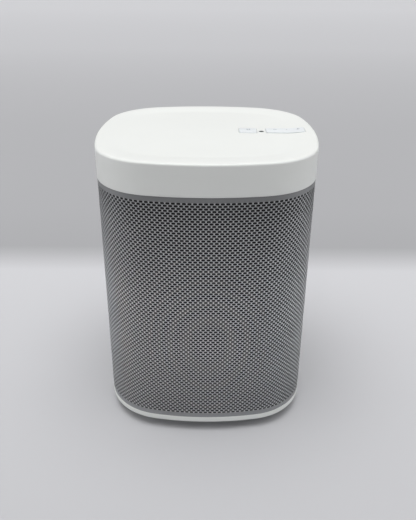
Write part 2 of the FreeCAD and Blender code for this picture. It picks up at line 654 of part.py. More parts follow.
def make_base():
    tray = body("tray")
    ring_pad = pad(tray, plan_outline(tray, "ring_plan", "0", "ring_low"), "grille_low - ring_low")
    low = value("ring_low") + TOUCH
    round_edges(tray, ring_pad, "ring_edge", lambda edge: edge.BoundBox.ZMax < low)
    pad(tray, plan_outline(tray, "spigot_plan", "spigot_inset", "grille_low"), "spigot_high - grille_low")
    pad(tray, plan_outline(tray, "plinth_plan", "plinth_inset", "plinth_low"), "ring_low - plinth_low")
    pocket(tray, plan_outline(tray, "tray_inside", "spigot_inset + spigot_wall", "tray_floor"),
           "spigot_high - tray_floor")
    recess = box("recess_walls", ("-recess_half - recess_wall", "recess_half + recess_wall"),
                 ("recess_front - recess_wall", "recess_back + recess_wall"),
                 ("tray_floor - overrun", "recess_high"))
    channel = box("channel_walls", ("-channel_half - recess_wall", "channel_half + recess_wall"),
                  ("recess_back", "channel_end - recess_wall * 2"),
                  ("tray_floor - overrun", "channel_high + recess_wall"))
    bosses = posts("tray_boss", "tray_boss_radius", corner_places(), "tray_floor - overrun", "spigot_high")
    solid = fuse("tray_solid", tray, recess, channel, *bosses)
    recess_hollow = box("recess_hollow", ("-recess_half", "recess_half"), ("recess_front", "recess_back"),
                        ("-overrun", "recess_high + overrun"))
    channel_hollow = box("channel_hollow", ("-channel_half", "channel_half"),
                         ("recess_back - overrun", "channel_end + 2 * overrun"),
                         ("-overrun", "channel_high"))
    cuts = [recess_hollow, channel_hollow]
    cuts += posts("tray_hole", SCREW_HOLE, corner_places(), "-overrun", "spigot_high + overrun")
    cuts += posts("tray_sink", "head_radius + screw_clear", corner_places(), "-overrun",
                  "base_head_low + head_high")
    groove = body("pad_groove")
    pad(groove, plan_outline(groove, "groove_outside", "pad_inset", "plinth_low - overrun"),
        "pad_high - plinth_low + overrun")
    pocket(groove, plan_outline(groove, "groove_inside", "pad_inset + pad_width", "plinth_low - overrun"),
           "pad_high - plinth_low + overrun")
    relief = spine_relief("tray_relief", "grille_low", "spigot_high + overrun")
    keep(cut("tray_finished", solid, relief, *cuts, groove), "base_tray")
    foot = body("foot")
    pad(foot, plan_outline(foot, "foot_outside", "pad_inset", "0"), "pad_high")
    pocket(foot, plan_outline(foot, "foot_inside", "pad_inset + pad_width", "0"), "pad_high")
    gap = rectangle(sketch_on(foot, "foot_gap", "XY_Plane"),
                    ("-channel_half - overrun", "channel_half + overrun"), ("0", "width"))
    pocket(foot, gap, "pad_high")
    keep(foot, "foot_pad")
    screws = screws_down("base_screw", corner_places(), "base_head_low", "base_screw_high", LARGE_SCREW)
    keep(group("base_fixings", *screws), "base_screws")


# ---------------------------------------------------------------- cabinet

def baffle_screw_places():
    low, high = "corner_screw_low", "corner_screw_high"
    right = [("corner_screw_x", low), ("side_screw_x", "side_screw_z"), ("corner_screw_x", high)]
    return right + [(f"-{x}", z) for x, z in right]


def rear_screw_places():
    return [(sign + "post_x", z) for sign in ("", "-") for z in ("post_low", "post_high")]


def make_cabinet():
    shell = body("cabinet")
    pad(shell, plan_outline(shell, "cabinet_outside", "cabinet_inset", "cabinet_low"),
        "cabinet_high - cabinet_low")
    front = rectangle(sketch_on(shell, "cabinet_front", "XY_Plane", "cabinet_low"), ("-width", "width"),
                      ("-width", "rim_plane"))
    pocket(shell, front, "cabinet_high - cabinet_low")
    inside = plan_outline(shell, "cabinet_inside", "cabinet_inset + cabinet_wall",
                          "cabinet_low + cabinet_wall")
    pocket(shell, inside, "cabinet_high - cabinet_low - 2 * cabinet_wall")
    additions = [rod_along_y("insert_boss", "insert_boss_radius", "0", "thread_height", "insert_boss_front",
                             "boss_back")]
    additions += posts("floor_boss", "base_boss_radius", corner_places(), "cabinet_low + overrun",
                       "base_boss_high")
    additions += rods("board_post", "post_radius", rear_screw_places(), "main_front + board_thick",
                      "post_back")
    for i, (x, z) in enumerate(baffle_screw_places()):
        if "corner" in x:
            additions.append(rod_along_y(f"rim_boss_{i}", "baffle_boss_radius", x, z, "rim_plane",
                                         "baffle_boss_back"))
    for sign in "+-":
        ends = (f"{sign}edge_boss_in", f"{sign}edge_boss_out")
        additions.append(box(f"edge_boss_{'right' if sign == '+' else 'left'}", ends if sign == "+"
                             else ends[::-1], ("rim_plane", "edge_boss_back"),
                             ("edge_boss_low", "edge_boss_high")))
    half = "rail_length / 2"
    additions += [box("left_rail", ("antenna_left_x - rail_thick / 2", "antenna_left_x + rail_thick / 2"),
                      (f"-{half}", half), ("cabinet_high - overrun", "rail_high")),
                  box("rear_rail", (f"-{half}", half),
                      ("antenna_rear_y - rail_thick / 2", "antenna_rear_y + rail_thick / 2"),
                      ("cabinet_high - overrun", "rail_high"))]
    reach = "(antenna_thick / 2 + antenna_clear)"
    cuts = [box("left_slot", (f"antenna_left_x - {reach}", f"antenna_left_x + {reach}"),
                (f"-{half} - overrun", f"{half} + overrun"), ("antenna_low", "rail_high + overrun")),
            box("rear_slot", (f"-{half} - overrun", f"{half} + overrun"),
                (f"antenna_rear_y - {reach}", f"antenna_rear_y + {reach}"),
                ("antenna_low", "rail_high + overrun")),
            rod_along_y("insert_hole", "insert_radius + insert_clear", "0", "thread_height",
                        "insert_front - insert_clear", "width"),
            box("jack_hole", ("-jack_half - jack_clear", "jack_half + jack_clear"),
                ("jack_back - panel_reach", "width"), ("jack_low - jack_clear", "jack_high + jack_clear")),
            box("inlet_hole", ("-inlet_half - inlet_clear", "inlet_half + inlet_clear"),
                ("inlet_front - inlet_clear", "inlet_back + inlet_clear"),
                ("cabinet_low - overrun", "cabinet_low + cabinet_wall + overrun")),
            box("grommet_hole", ("grommet_left", "grommet_right"), ("grommet_front", "grommet_back"),
                ("cabinet_high - cabinet_wall - overrun", "cabinet_high + overrun"))]
    cuts += posts("floor_pilot", SCREW_HOLE, corner_places(), "cabinet_low - overrun",
                  "base_screw_high + overrun")
    cuts += posts("roof_hole", SCREW_HOLE, corner_places(), "cabinet_high - cabinet_wall - overrun",
                  "cabinet_high + overrun")
    cuts += rods("rim_pilot", SCREW_HOLE, baffle_screw_places(), "rim_plane - overrun",
                 "baffle_screw_back + overrun")
    cuts += rods("post_pilot", SCREW_HOLE, rear_screw_places(), "main_front", "board_screw_back + overrun")
    relief = spine_relief("cabinet_relief", "cabinet_low", "cabinet_high")
    keep(cut("cabinet_finished", fuse("cabinet_solid", shell, *additions), relief, *cuts), "cabinet_shell")
    screws = screws_down("cap_screw", corner_places(), "cabinet_high - cabinet_wall - head_high",
                         "cap_screw_high", LARGE_SCREW)
    keep(group("cap_fixings", *screws), "cap_screws")


def front_slice(label, front, back, inset):
    """A slab of the plan outline between two depths, as tall as the cabinet."""
    slab = body(label)
    pad(slab, plan_outline(slab, f"{label}_plan", inset, "cabinet_low"), "cabinet_high - cabinet_low")
    ahead = rectangle(sketch_on(slab, f"{label}_ahead", "XY_Plane", "cabinet_low"), ("-width", "width"),
                      ("-width", front))
    pocket(slab, ahead, "cabinet_high - cabinet_low")
    behind = rectangle(sketch_on(slab, f"{label}_behind", "XY_Plane", "cabinet_low"), ("-width", "width"),
                       (back, "width"))
    pocket(slab, behind, "cabinet_high - cabinet_low")
    return slab


WOOFER_SCREW_ANGLES = (45, 135, 225, 315)
TWEETER_SCREW_ANGLES = (30, 150, 270)


def woofer_screw_places():
    return [(f"woofer_screw_pitch * {x}", f"woofer_z + woofer_screw_pitch * {z}")
            for x, z in ((f"cos({a})", f"sin({a})") for a in WOOFER_SCREW_ANGLES)]


def tweeter_screw_places():
    return [(f"tweeter_screw_pitch * {x}", f"tweeter_z + tweeter_screw_pitch * {z}")
            for x, z in ((f"cos({a})", f"sin({a})") for a in TWEETER_SCREW_ANGLES)]


def make_baffle():
    slab = front_slice("baffle", "baffle_front", "baffle_back", "cabinet_inset")
    cuts = [rod_along_y("woofer_cutout", "woofer_hole", "0", "woofer_z", "baffle_front - overrun",
                        "baffle_back + overrun"), rod_along_y("tweeter_cutout", "tweeter_hole", "0",
            "tweeter_z", "baffle_front - overrun", "baffle_back + overrun")]
    places = baffle_screw_places() + woofer_screw_places() + tweeter_screw_places()
    cuts += rods("baffle_hole", SCREW_HOLE, places, "baffle_front - overrun", "baffle_back + overrun")
    keep(cut("baffle_plate", slab, *cuts), "front_baffle")
    seal = front_slice("seal", "baffle_back", "rim_plane", "cabinet_inset")
    inner = front_slice("seal_inside", "baffle_back - overrun", "rim_plane + overrun",
                        "cabinet_inset + cabinet_wall")
    middle = box("seal_window", ("-width / 2", "width / 2"),
                 ("baffle_back - 2 * overrun", "rim_plane + 2 * overrun"),
                 ("cabinet_low + cabinet_wall", "cabinet_high - cabinet_wall"))
    holes = rods("seal_hole", SCREW_HOLE, baffle_screw_places(), "baffle_back - overrun",
                 "rim_plane + overrun")
    keep(cut("seal_ring", seal, common("seal_middle", inner, middle), *holes), "cabinet_gasket")
    screws = screws_back("baffle_screw", baffle_screw_places(), "baffle_front", "baffle_screw_back")
    keep(group("baffle_fixings", *screws), "baffle_screws")
    keep(box("foam_block", ("-foam_half", "foam_half"), ("foam_front", "foam_back"),
             ("foam_low", "foam_high")), "damping_foam")


# ---------------------------------------------------------------- woofer

def make_woofer_frame():
    skin = "basket_skin"
    basket = turned("basket", [("basket_mouth", "flange_front"), ("flange_radius", "flange_front"),
                               ("flange_radius", "flange_back"),
                               ("basket_mouth + mouth_step", "flange_back"),
                               (f"basket_neck + {skin}", "basket_back"), ("basket_bore", "basket_back"),
                               ("basket_bore", "basket_floor"), ("basket_neck - neck_step", "basket_floor"),
                               ("basket_neck - neck_step", "ledge_front"),
                               ("basket_neck + neck_clear", "ledge_front"),
                               (f"basket_mouth - {skin}", "flange_back")], "woofer_z")
    disc = rod_along_y("window_ring", "window_out", "0", "woofer_z", "window_front", "window_back")
    core = rod_along_y("window_core", "window_in", "0", "woofer_z", "window_front - overrun",
                       "window_back + overrun")
    ribs = [box("rib_across", ("-window_out", "window_out"),
                ("window_front - overrun", "window_back + overrun"),
                ("woofer_z - rib_half", "woofer_z + rib_half")),
            box("rib_upright", ("-rib_half", "rib_half"),
                ("window_front - overrun", "window_back + overrun"),
                ("woofer_z - window_out", "woofer_z + window_out"))]
    windows = cut("basket_windows", disc, core, *ribs)
    terminal = box("terminal", ("terminal_in", "terminal_out"), ("terminal_front", "terminal_back"),
                   ("woofer_z - terminal_half", "woofer_z + terminal_half"))
    holes = rods("flange_hole", SCREW_HOLE, woofer_screw_places(), "flange_front - overrun",
                 "flange_back + overrun")
    frame = fuse("basket_with_terminal", cut("basket_open", basket, windows, *holes), terminal)
    clear = turned("cone_clearance", [("0", "ledge_front"), ("basket_neck + neck_clear", "ledge_front"),
                                      ("basket_mouth - basket_skin", "flange_back"), ("0", "flange_back")],
                   "woofer_z")
    keep(cut("basket_finished", frame, clear), "woofer_frame")


def make_woofer_motor():
    keep(ring("woofer_front_plate", "plate_bore", "plate_radius", "basket_back", "plate_back", "woofer_z"),
         "woofer_top_plate")
    keep(ring("woofer_ferrite", "magnet_bore", "magnet_radius", "plate_back", "magnet_back", "woofer_z"),
         "woofer_magnet")
    yoke = turned("yoke_and_pole", [("0", "pole_front"), ("pole_radius", "pole_front"),
                                    ("pole_radius", "magnet_back"), ("yoke_radius", "magnet_back"),
                                    ("yoke_radius", "0"), ("0", "0")], "woofer_z")
    keep(yoke, "woofer_pole_yoke")


def make_woofer_motion():
    neck = "coil_radius + coil_skin"
    cone = turned("paper_cone", [(neck, "coil_front"), ("cone_edge", "cone_front"),
                                 ("cone_rim", "cone_front"), ("cone_rim", "cone_front + cone_skin"),
                                 ("cone_edge + cone_skin", "cone_front + cone_skin"),
                                 (neck, "coil_front + 2 * cone_skin")], "woofer_z")
    keep(cone, "woofer_cone")
    rise = "(cap_base - cap_front)"
    sphere = f"((cap_radius ^ 2 + {rise} ^ 2) / (2 * {rise}))"
    cap = turned("cap_dome", [("0", "cap_front"), ("cap_radius", "cap_base"),
                              ("cap_radius", "cap_base + cone_skin"), ("0", "cap_front + cone_skin")],
                 "woofer_z", {0: sphere, 2: f"-{sphere}"})
    keep(cap, "woofer_dust_cap")
    coil = turned("coil_former", [("coil_radius", "coil_front"), (neck, "coil_front"),
                                  (neck, "winding_front"), (f"{neck} + winding_skin", "winding_front"),
                                  (f"{neck} + winding_skin", "coil_back"), ("coil_radius", "coil_back")],
                  "woofer_z")
    keep(coil, "woofer_voice_coil")
    roll = "((roll_out - roll_in) / 2)"
    lip = "cone_front - roll_skin"
    surround = turned("rubber_roll", [("surround_in", lip), ("roll_in", lip), ("roll_out", lip),
                                      ("surround_out", lip), ("surround_out", "cone_front"),
                                      ("roll_out - roll_skin", "cone_front"),
                                      ("roll_in + roll_skin", "cone_front"), ("surround_in", "cone_front")],
                      "woofer_z", {1: f"{roll} + {TOUCH}", 5: f"-({roll} - roll_skin + {TOUCH})"})
    keep(surround, "woofer_surround")
    step = "(spider_out - spider_lip - spider_in) / (2 * spider_folds)"
    front = [("spider_in", "spider_front")]
    for fold in range(1, 2 * int(value("spider_folds"))):
        depth = "spider_front - spider_wave" if fold % 2 else "spider_front"
        front.append((f"spider_in + {fold} * {step}", depth))
    front += [("spider_out - spider_lip", "spider_front"), ("spider_out", "spider_front")]
    back = [(across, f"{depth} + spider_skin") for across, depth in reversed(front)]
    spider = turned("cloth_spider", front + back, "woofer_z")
    keep(spider, "woofer_spider")


def make_woofer():
    make_woofer_frame()
    make_woofer_motor()
    make_woofer_motion()
    gasket = ring("woofer_seal", "woofer_hole", "flange_radius", "flange_back", "baffle_front", "woofer_z")
    holes = rods("woofer_seal_hole", SCREW_HOLE, woofer_screw_places(), "flange_back - overrun",
                 "baffle_front + overrun")
    keep(cut("woofer_seal_ring", gasket, *holes), "woofer_gasket")


# ---------------------------------------------------------------- tweeter

def make_tweeter():
    plate = turned("tweeter_plate", [("faceplate_bore", "faceplate_back"),
                                     ("faceplate_bore", "faceplate_back - suspension_thick * 2"),
                                     ("horn_radius", "faceplate_front"),
                                     ("faceplate_radius", "faceplate_front"),
                                     ("faceplate_radius", "faceplate_back")], "tweeter_z")
    holes = rods("tweeter_plate_hole", SCREW_HOLE, tweeter_screw_places(), "faceplate_front - overrun",
                 "faceplate_back + overrun")
    keep(cut("tweeter_front", plate, *holes), "tweeter_faceplate")
    gasket = ring("tweeter_seal", "tweeter_hole", "faceplate_radius", "faceplate_back", "baffle_front",
                  "tweeter_z")
    holes = rods("tweeter_seal_hole", SCREW_HOLE, tweeter_screw_places(), "faceplate_back - overrun",
                 "baffle_front + overrun")
    keep(cut("tweeter_seal_ring", gasket, *holes), "tweeter_gasket")
    rise = "(dome_plane - dome_front)"
    sphere = f"((dome_base ^ 2 + {rise} ^ 2) / (2 * {rise}))"
    dome = turned("silk_dome", [("0", "dome_front"), ("dome_base", "dome_plane"),
                                ("dome_base", "dome_plane + dome_thick"), ("0", "dome_front + dome_thick")],
                  "tweeter_z", {0: sphere, 2: f"-{sphere}"})
    keep(dome, "tweeter_dome")
    keep(ring("tweeter_former", "tweeter_coil", "dome_base", "dome_plane + dome_thick", "tweeter_coil_back",
              "tweeter_z"), "tweeter_voice_coil")
    keep(ring("tweeter_suspension", "dome_base + suspension_gap", "yoke_outer", "faceplate_back",
              "faceplate_back + suspension_thick", "tweeter_z"), "tweeter_surround")
    keep(ring("tweeter_disc", "0", "disc_radius", "disc_front", "disc_back", "tweeter_z"),
         "tweeter_pole_disc")
    keep(ring("tweeter_slug", "0", "slug_radius", "disc_back", "yoke_floor", "tweeter_z"), "tweeter_magnet")
    cup = turned("tweeter_cup", [("yoke_bore", "faceplate_back + suspension_thick"),
                                 ("yoke_outer", "faceplate_back + suspension_thick"),
                                 ("yoke_outer", "yoke_back"), ("0", "yoke_back"), ("0", "yoke_floor"),
                                 ("yoke_bore", "yoke_floor")], "tweeter_z")
    keep(cup, "tweeter_yoke")
    screws = screws_back("woofer_screw", woofer_screw_places(), "flange_front", "driver_screw_back",
                         "driver_head_radius")
    screws += screws_back("tweeter_screw", tweeter_screw_places(), "faceplate_front", "driver_screw_back",
                          "driver_head_radius")
    keep(group("driver_fixings", *screws), "driver_screws")


# ---------------------------------------------------------------- sockets and thread

def make_sockets():
    case = box("jack_case", ("-jack_half", "jack_half"), ("main_front + board_thick", "jack_back"),
               ("jack_low", "jack_high"))
    port = box("jack_port", ("-port_half", "port_half"), ("port_front", "jack_back + overrun"),
               ("port_low", "port_high"))
    latch = box("jack_latch", ("-latch_half", "latch_half"), ("port_front", "jack_back + overrun"),
                ("port_low", "latch_high"))
    keep(cut("jack", case, port, latch), "ethernet_jack")
    block = box("inlet_block", ("-inlet_half", "inlet_half"), ("inlet_front", "inlet_back"),
                ("recess_high", "inlet_high"))
    # The inlet's flange rests on the recess's walls and is the recess's roof.
    flange = box("inlet_flange", ("-recess_half - recess_wall", "recess_half + recess_wall"),
                 ("recess_front - recess_wall", "recess_back + recess_wall"),
                 ("recess_high", "recess_high + recess_wall"))
    housing = fuse("inlet_solid", block, flange)
    middle = "((inlet_front + inlet_back) / 2)"
    hollow = [post(f"socket_bore_{sign}", "socket_radius", f"{sign}socket_pitch", middle,
                   "recess_high - overrun", "socket_high") for sign in "+-"]
    hollow.append(box("socket_waist", ("-socket_pitch", "socket_pitch"),
                      (f"{middle} - socket_radius * waist_share",
                       f"{middle} + socket_radius * waist_share"),
                      ("recess_high - overrun", "socket_high")))
    hollow += [post(f"pin_hole_{sign}", "pin_radius", f"{sign}socket_pitch", middle,
                    "socket_high - overrun", "inlet_high + overrun") for sign in "+-"]
    keep(cut("inlet_housing", housing, *hollow), "power_inlet")
    pins = [post(f"pin_{sign}", "pin_radius", f"{sign}socket_pitch", middle, "pin_low", "pin_high")
            for sign in "+-"]
    keep(group("pins", *pins), "inlet_pins")
    sleeve = rod_along_y("insert_sleeve", "insert_radius", "0", "thread_height", "insert_front",
                         "insert_back")
    bore = rod_along_y("insert_bore", "thread_radius", "0", "thread_height", "thread_front",
                       "insert_back + overrun")
    keep(cut("insert", sleeve, bore), "threaded_insert")


# ---------------------------------------------------------------- electronics

def spacer_places():
    return [(sign + "spacer_x", z) for sign in ("", "-") for z in ("spacer_low", "spacer_high")]


def make_boards():
    plate = box("main_plate", ("-main_half", "main_half"), ("main_front", "main_front + board_thick"),
                ("main_low", "main_high"))
    holes = rods("main_hole", "board_hole", rear_screw_places() + spacer_places(), "main_front - overrun",
                 "main_front + board_thick + overrun")
    chip = box("amplifier_chip", ("sink_left + chip_side", "sink_right - chip_side"),
               ("main_front + board_thick", "main_front + board_thick + chip_high"),
               ("sink_low + chip_end", "sink_high - chip_end"))
    processor = box("processor_chip", ("-processor_half", "processor_half"),
                    ("main_front - chip_high", "main_front"), ("processor_low", "processor_high"))
    keep(group("main_assembly", cut("main_drilled", plate, *holes), chip, processor), "main_board")
    supply = box("supply_plate", ("-supply_half", "supply_half"),
                 ("supply_front", "supply_front + board_thick"), ("supply_low", "supply_high"))
    holes = rods("supply_hole", "board_hole", spacer_places(), "supply_front - overrun",
                 "supply_front + board_thick + overrun")
    keep(cut("supply_drilled", supply, *holes), "power_supply_board")
    spacers = []
    for i, (x, z) in enumerate(spacer_places()):
        spacers.append(fuse(f"spacer_{i}", rod_along_y(f"spacer_tube_{i}", "spacer_radius", x, z,
                                                       "supply_front + board_thick", "main_front"),
                            rod_along_y(f"spacer_stud_{i}", "spacer_stud", x, z,
                                        "supply_front - spacer_head_high",
                                        "main_front + board_thick + spacer_head_high"),
                            rod_along_y(f"spacer_clip_{i}", "spacer_head", x, z,
                                        "supply_front - spacer_head_high", "supply_front"),
                            rod_along_y(f"spacer_catch_{i}", "spacer_head", x, z,
                                        "main_front + board_thick",
                                        "main_front + board_thick + spacer_head_high")))
    keep(group("spacers", *spacers), "board_spacers")
    screws = screws_back("board_screw", rear_screw_places(), "main_front", "board_screw_back")
    keep(group("board_fixings", *screws), "board_screws")


def make_components():
    face = "supply_front + board_thick"
    core = box("core", ("core_left", "core_right"), (face, "core_back"), ("core_low", "core_high"))
    bobbin = box("bobbin", ("core_left + winding_side", "core_right - winding_side"),
                 (face, "core_back - winding_side"),
                 ("core_low - winding_reach", "core_high + winding_reach"))
    keep(fuse("wound_core", core, bobbin), "transformer")
    can_places = [("can_x", "can_z"), ("can_x", "can_z + can_gap"),
                  ("can_x + can_gap", "can_z + can_gap / 2")]
    cans = rods("can", "can_radius", can_places, face, "can_high")
    keep(group("cans", *cans), "filter_capacitors")
    seat = "main_front + board_thick + chip_high"
    plate = box("sink_base", ("sink_left", "sink_right"), (seat, f"{seat} + sink_plate"),
                ("sink_low", "sink_high"))
    fins = []
    for i in range(int(value("fin_count"))):
        left = f"sink_left + {i} * (sink_right - sink_left - fin_thick) / (fin_count - 1)"
        fins.append(box(f"fin_{i}", (left, f"{left} + fin_thick"), (seat, "sink_back"),
                        ("sink_low", "sink_high")))
    keep(fuse("finned_sink", plate, *fins), "heat_sink")
    card = box("card", ("card_left", "card_right"), ("card_front", "card_front + card_thick"),
               ("card_low", "card_high"))
    socket = box("card_socket", ("card_left + card_edge", "card_right - card_edge"),
                 ("main_front + board_thick", "card_front"), ("card_low", "card_low + card_socket_high"))
    can = box("card_shield", ("card_left + card_edge", "card_right - card_edge"),
              ("card_front + card_thick", "card_front + card_thick + shield_high"),
              ("card_low + shield_end", "card_high - shield_end"))
    keep(group("wireless", card, socket, can), "wifi_card")


def make_antennas_and_cables():
    half = "antenna_half"
    reach = "antenna_thick / 2"
    keep(box("aerial_left", (f"antenna_left_x - {reach}", f"antenna_left_x + {reach}"), (f"-{half}", half),
             ("antenna_low", "antenna_high")), "antenna_left")
    keep(box("aerial_rear", (f"-{half}", half), (f"antenna_rear_y - {reach}", f"antenna_rear_y + {reach}"),
             ("antenna_low", "antenna_high")), "antenna_rear")
    block = box("grommet_block", ("grommet_left", "grommet_right"), ("grommet_front", "grommet_back"),
                ("grommet_low", "grommet_high"))
    cable_places = [("cable_left_x", "cable_y"), ("cable_rear_x", "cable_y")]
    passages = posts("grommet_bore", "cable_hole", cable_places, "grommet_low - overrun",
                     "grommet_high + overrun")
    passages.append(box("grommet_slit", ("ribbon_left - ribbon_clear", "ribbon_right + ribbon_clear"),
                        ("cable_y - ribbon_clear", "cable_y + ribbon_clear + ribbon_thick"),
                        ("grommet_low - overrun", "grommet_high + overrun")))
    keep(cut("grommet", block, *passages), "cable_grommet")
    cables = [bent_tube("aerial_cable_left", [(f"antenna_left_x + {reach} + aerial_cable_radius", "0",
                                               "cable_start"),
                                              (f"antenna_left_x + {reach} + aerial_cable_radius",
                                               "cable_turn_y", "cable_turn"),
                                              ("cable_cross_x", "cable_cross_y", "cable_level"),
                                              ("cable_left_x", "cable_y", "cable_level"),
                                              ("cable_left_x", "cable_y", "cable_left_bend"),
                                              ("cable_left_end_x", "cable_y", "cable_left_end")],
                        "aerial_cable_radius", "lead_bend"),
              bent_tube("aerial_cable_rear", [("cable_rear_x", f"antenna_rear_y - {reach}",
                                               "cable_rear_level"), ("cable_rear_x", "cable_y",
                                              "cable_rear_level"), ("cable_rear_x", "cable_y",
                                              "cable_rear_bend"), ("cable_rear_end_x", "cable_y",
                                              "cable_rear_end")], "aerial_cable_radius", "lead_bend")]
    keep(group("aerial_cables", *cables), "antenna_cables")
    ribbon = body("ribbon")
    thick = "ribbon_thick"
    face = "main_front + board_thick"
    route = [("ribbon_start", "control_low"), ("ribbon_start", "ribbon_level"), ("cable_y", "ribbon_level"),
             ("cable_y", f"ribbon_end + {thick}"), (face, f"ribbon_end + {thick}"), (face, "ribbon_end"),
             (f"cable_y + {thick}", "ribbon_end"), (f"cable_y + {thick}", f"ribbon_level + {thick}"),
             (f"ribbon_start + {thick}", f"ribbon_level + {thick}"),
             (f"ribbon_start + {thick}", "control_low")]
    pad(ribbon, profile(sketch_on(ribbon, "ribbon_route", "YZ_Plane", "ribbon_left"), route),
        "ribbon_right - ribbon_left")
    keep(ribbon, "control_ribbon")
    leads = []
    for sign in "+-":
        side = f"woofer_z {sign} lead_half_gap"
        leads.append(bent_tube(f"woofer_lead_{sign}",
                               [("woofer_lead_x", "main_front", f"woofer_lead_rise + {side}"),
                                ("woofer_lead_x", "woofer_lead_middle", f"woofer_lead_rise + {side}"),
                                ("woofer_lead_x", "woofer_lead_front", side),
                                ("terminal_out", "woofer_lead_front", side)], "lead_radius", "lead_bend"))
        level = f"tweeter_z {sign} lead_half_gap"
        leads.append(bent_tube(f"tweeter_lead_{sign}",
                               [("tweeter_lead_x", "main_front", f"{level} - tweeter_lead_drop"),
                                ("tweeter_lead_x", "tweeter_lead_front", f"{level} - tweeter_lead_drop"),
                                ("tweeter_lead_end", "tweeter_lead_front", level),
                                ("tweeter_lead_end", "yoke_back", level)], "lead_radius", "lead_bend"))
    keep(group("wires_to_drivers", *leads), "driver_leads")
    middle = "(inlet_front + inlet_back) / 2"
    mains = [bent_tube(f"mains_lead_{sign}",
                       [(f"{sign}socket_pitch", middle, "pin_high"),
                        (f"{sign}socket_pitch", middle, "pin_high + mains_lead_rise"),
                        (f"{sign}socket_pitch", "supply_front + board_thick",
                         "pin_high + mains_lead_rise")], "lead_radius", "lead_bend") for sign in "+-"]
    keep(group("mains_wires", *mains), "inlet_leads")


# ---------------------------------------------------------------- checks and export

def check_everything():
    document.recompute()
    for thing in document.Objects:
        if any(word in state for state in thing.State for word in ("Invalid", "Error")):
            raise RuntimeError(f"{thing.Name} ({thing.Label}) failed: {thing.State}")
    labels = [thing.Label for thing in subparts]
    if len(set(labels)) != len(labels):
        raise RuntimeError("two sub-parts share a label")
    for thing in subparts:
        if thing.Shape.isNull() or not thing.Shape.isValid() or not thing.Shape.Solids:
            raise RuntimeError(f"{thing.Label} has no valid solid")


def export_everything():
    os.makedirs(OUTPUT_FOLDER, exist_ok=True)
    for thing in subparts:
        thing.Shape.exportStep(f"{OUTPUT_FOLDER}/{thing.Label}.step")


fill_sheet()
solid_cap = cap_blank()
make_cap(solid_cap)
make_keys(solid_cap)
make_key_frame()
make_control_board()
make_grille()
make_rear_panel()
make_base()
make_cabinet()
make_baffle()
make_woofer()
make_tweeter()
make_sockets()
make_boards()
make_components()
make_antennas_and_cables()
check_everything()
export_everything()
print(len(subparts), "sub-parts written")
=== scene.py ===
import json
import math

import bmesh
import bpy
import numpy as np
from mathutils import Euler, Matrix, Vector


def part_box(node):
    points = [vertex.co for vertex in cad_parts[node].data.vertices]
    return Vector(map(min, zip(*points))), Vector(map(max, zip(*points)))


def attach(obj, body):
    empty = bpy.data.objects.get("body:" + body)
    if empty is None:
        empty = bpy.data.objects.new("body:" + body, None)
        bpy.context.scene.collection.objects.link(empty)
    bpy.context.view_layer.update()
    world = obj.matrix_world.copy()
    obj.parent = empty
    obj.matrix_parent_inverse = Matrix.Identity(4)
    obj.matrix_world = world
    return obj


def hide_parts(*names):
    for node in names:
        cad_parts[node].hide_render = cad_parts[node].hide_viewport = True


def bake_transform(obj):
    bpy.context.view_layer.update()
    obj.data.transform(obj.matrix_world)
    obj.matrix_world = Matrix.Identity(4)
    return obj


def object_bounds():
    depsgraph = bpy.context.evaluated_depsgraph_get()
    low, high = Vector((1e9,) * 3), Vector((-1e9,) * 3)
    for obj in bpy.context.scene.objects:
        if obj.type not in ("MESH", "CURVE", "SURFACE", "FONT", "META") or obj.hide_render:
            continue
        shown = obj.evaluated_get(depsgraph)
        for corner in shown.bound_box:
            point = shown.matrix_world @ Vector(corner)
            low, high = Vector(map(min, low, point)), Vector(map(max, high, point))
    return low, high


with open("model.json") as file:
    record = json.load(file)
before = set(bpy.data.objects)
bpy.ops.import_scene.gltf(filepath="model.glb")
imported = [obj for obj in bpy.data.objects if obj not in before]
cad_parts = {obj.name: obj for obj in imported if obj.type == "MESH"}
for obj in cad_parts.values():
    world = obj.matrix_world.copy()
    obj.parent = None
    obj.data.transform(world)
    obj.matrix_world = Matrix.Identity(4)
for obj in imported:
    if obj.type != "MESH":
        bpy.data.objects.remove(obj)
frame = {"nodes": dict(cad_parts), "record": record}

MM = 0.001
CAD_LOW, CAD_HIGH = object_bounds()


def node_box(node):
    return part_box(node)


# ------------------------------------------------------------------ the plan outline
# The speaker's plan is a square of bowed sides joined by round corners, all tangent.
HALF_WIDTH = CAD_HIGH.x
SIDE_RADIUS = 153.0 * MM
CORNER_RADIUS = 34.0 * MM
SIDE_OFFSET = SIDE_RADIUS - HALF_WIDTH
CORNER_CENTRE = (math.sqrt(2 * (SIDE_RADIUS - CORNER_RADIUS) ** 2 - SIDE_OFFSET ** 2) - SIDE_OFFSET) / 2
HALF_SIDE_ANGLE = math.atan2(CORNER_CENTRE, CORNER_CENTRE + SIDE_OFFSET)
CORNER_ANGLE = math.pi / 2 - 2 * HALF_SIDE_ANGLE
QUARTER = SIDE_RADIUS * 2 * HALF_SIDE_ANGLE + CORNER_RADIUS * CORNER_ANGLE
PERIMETER = 4 * QUARTER


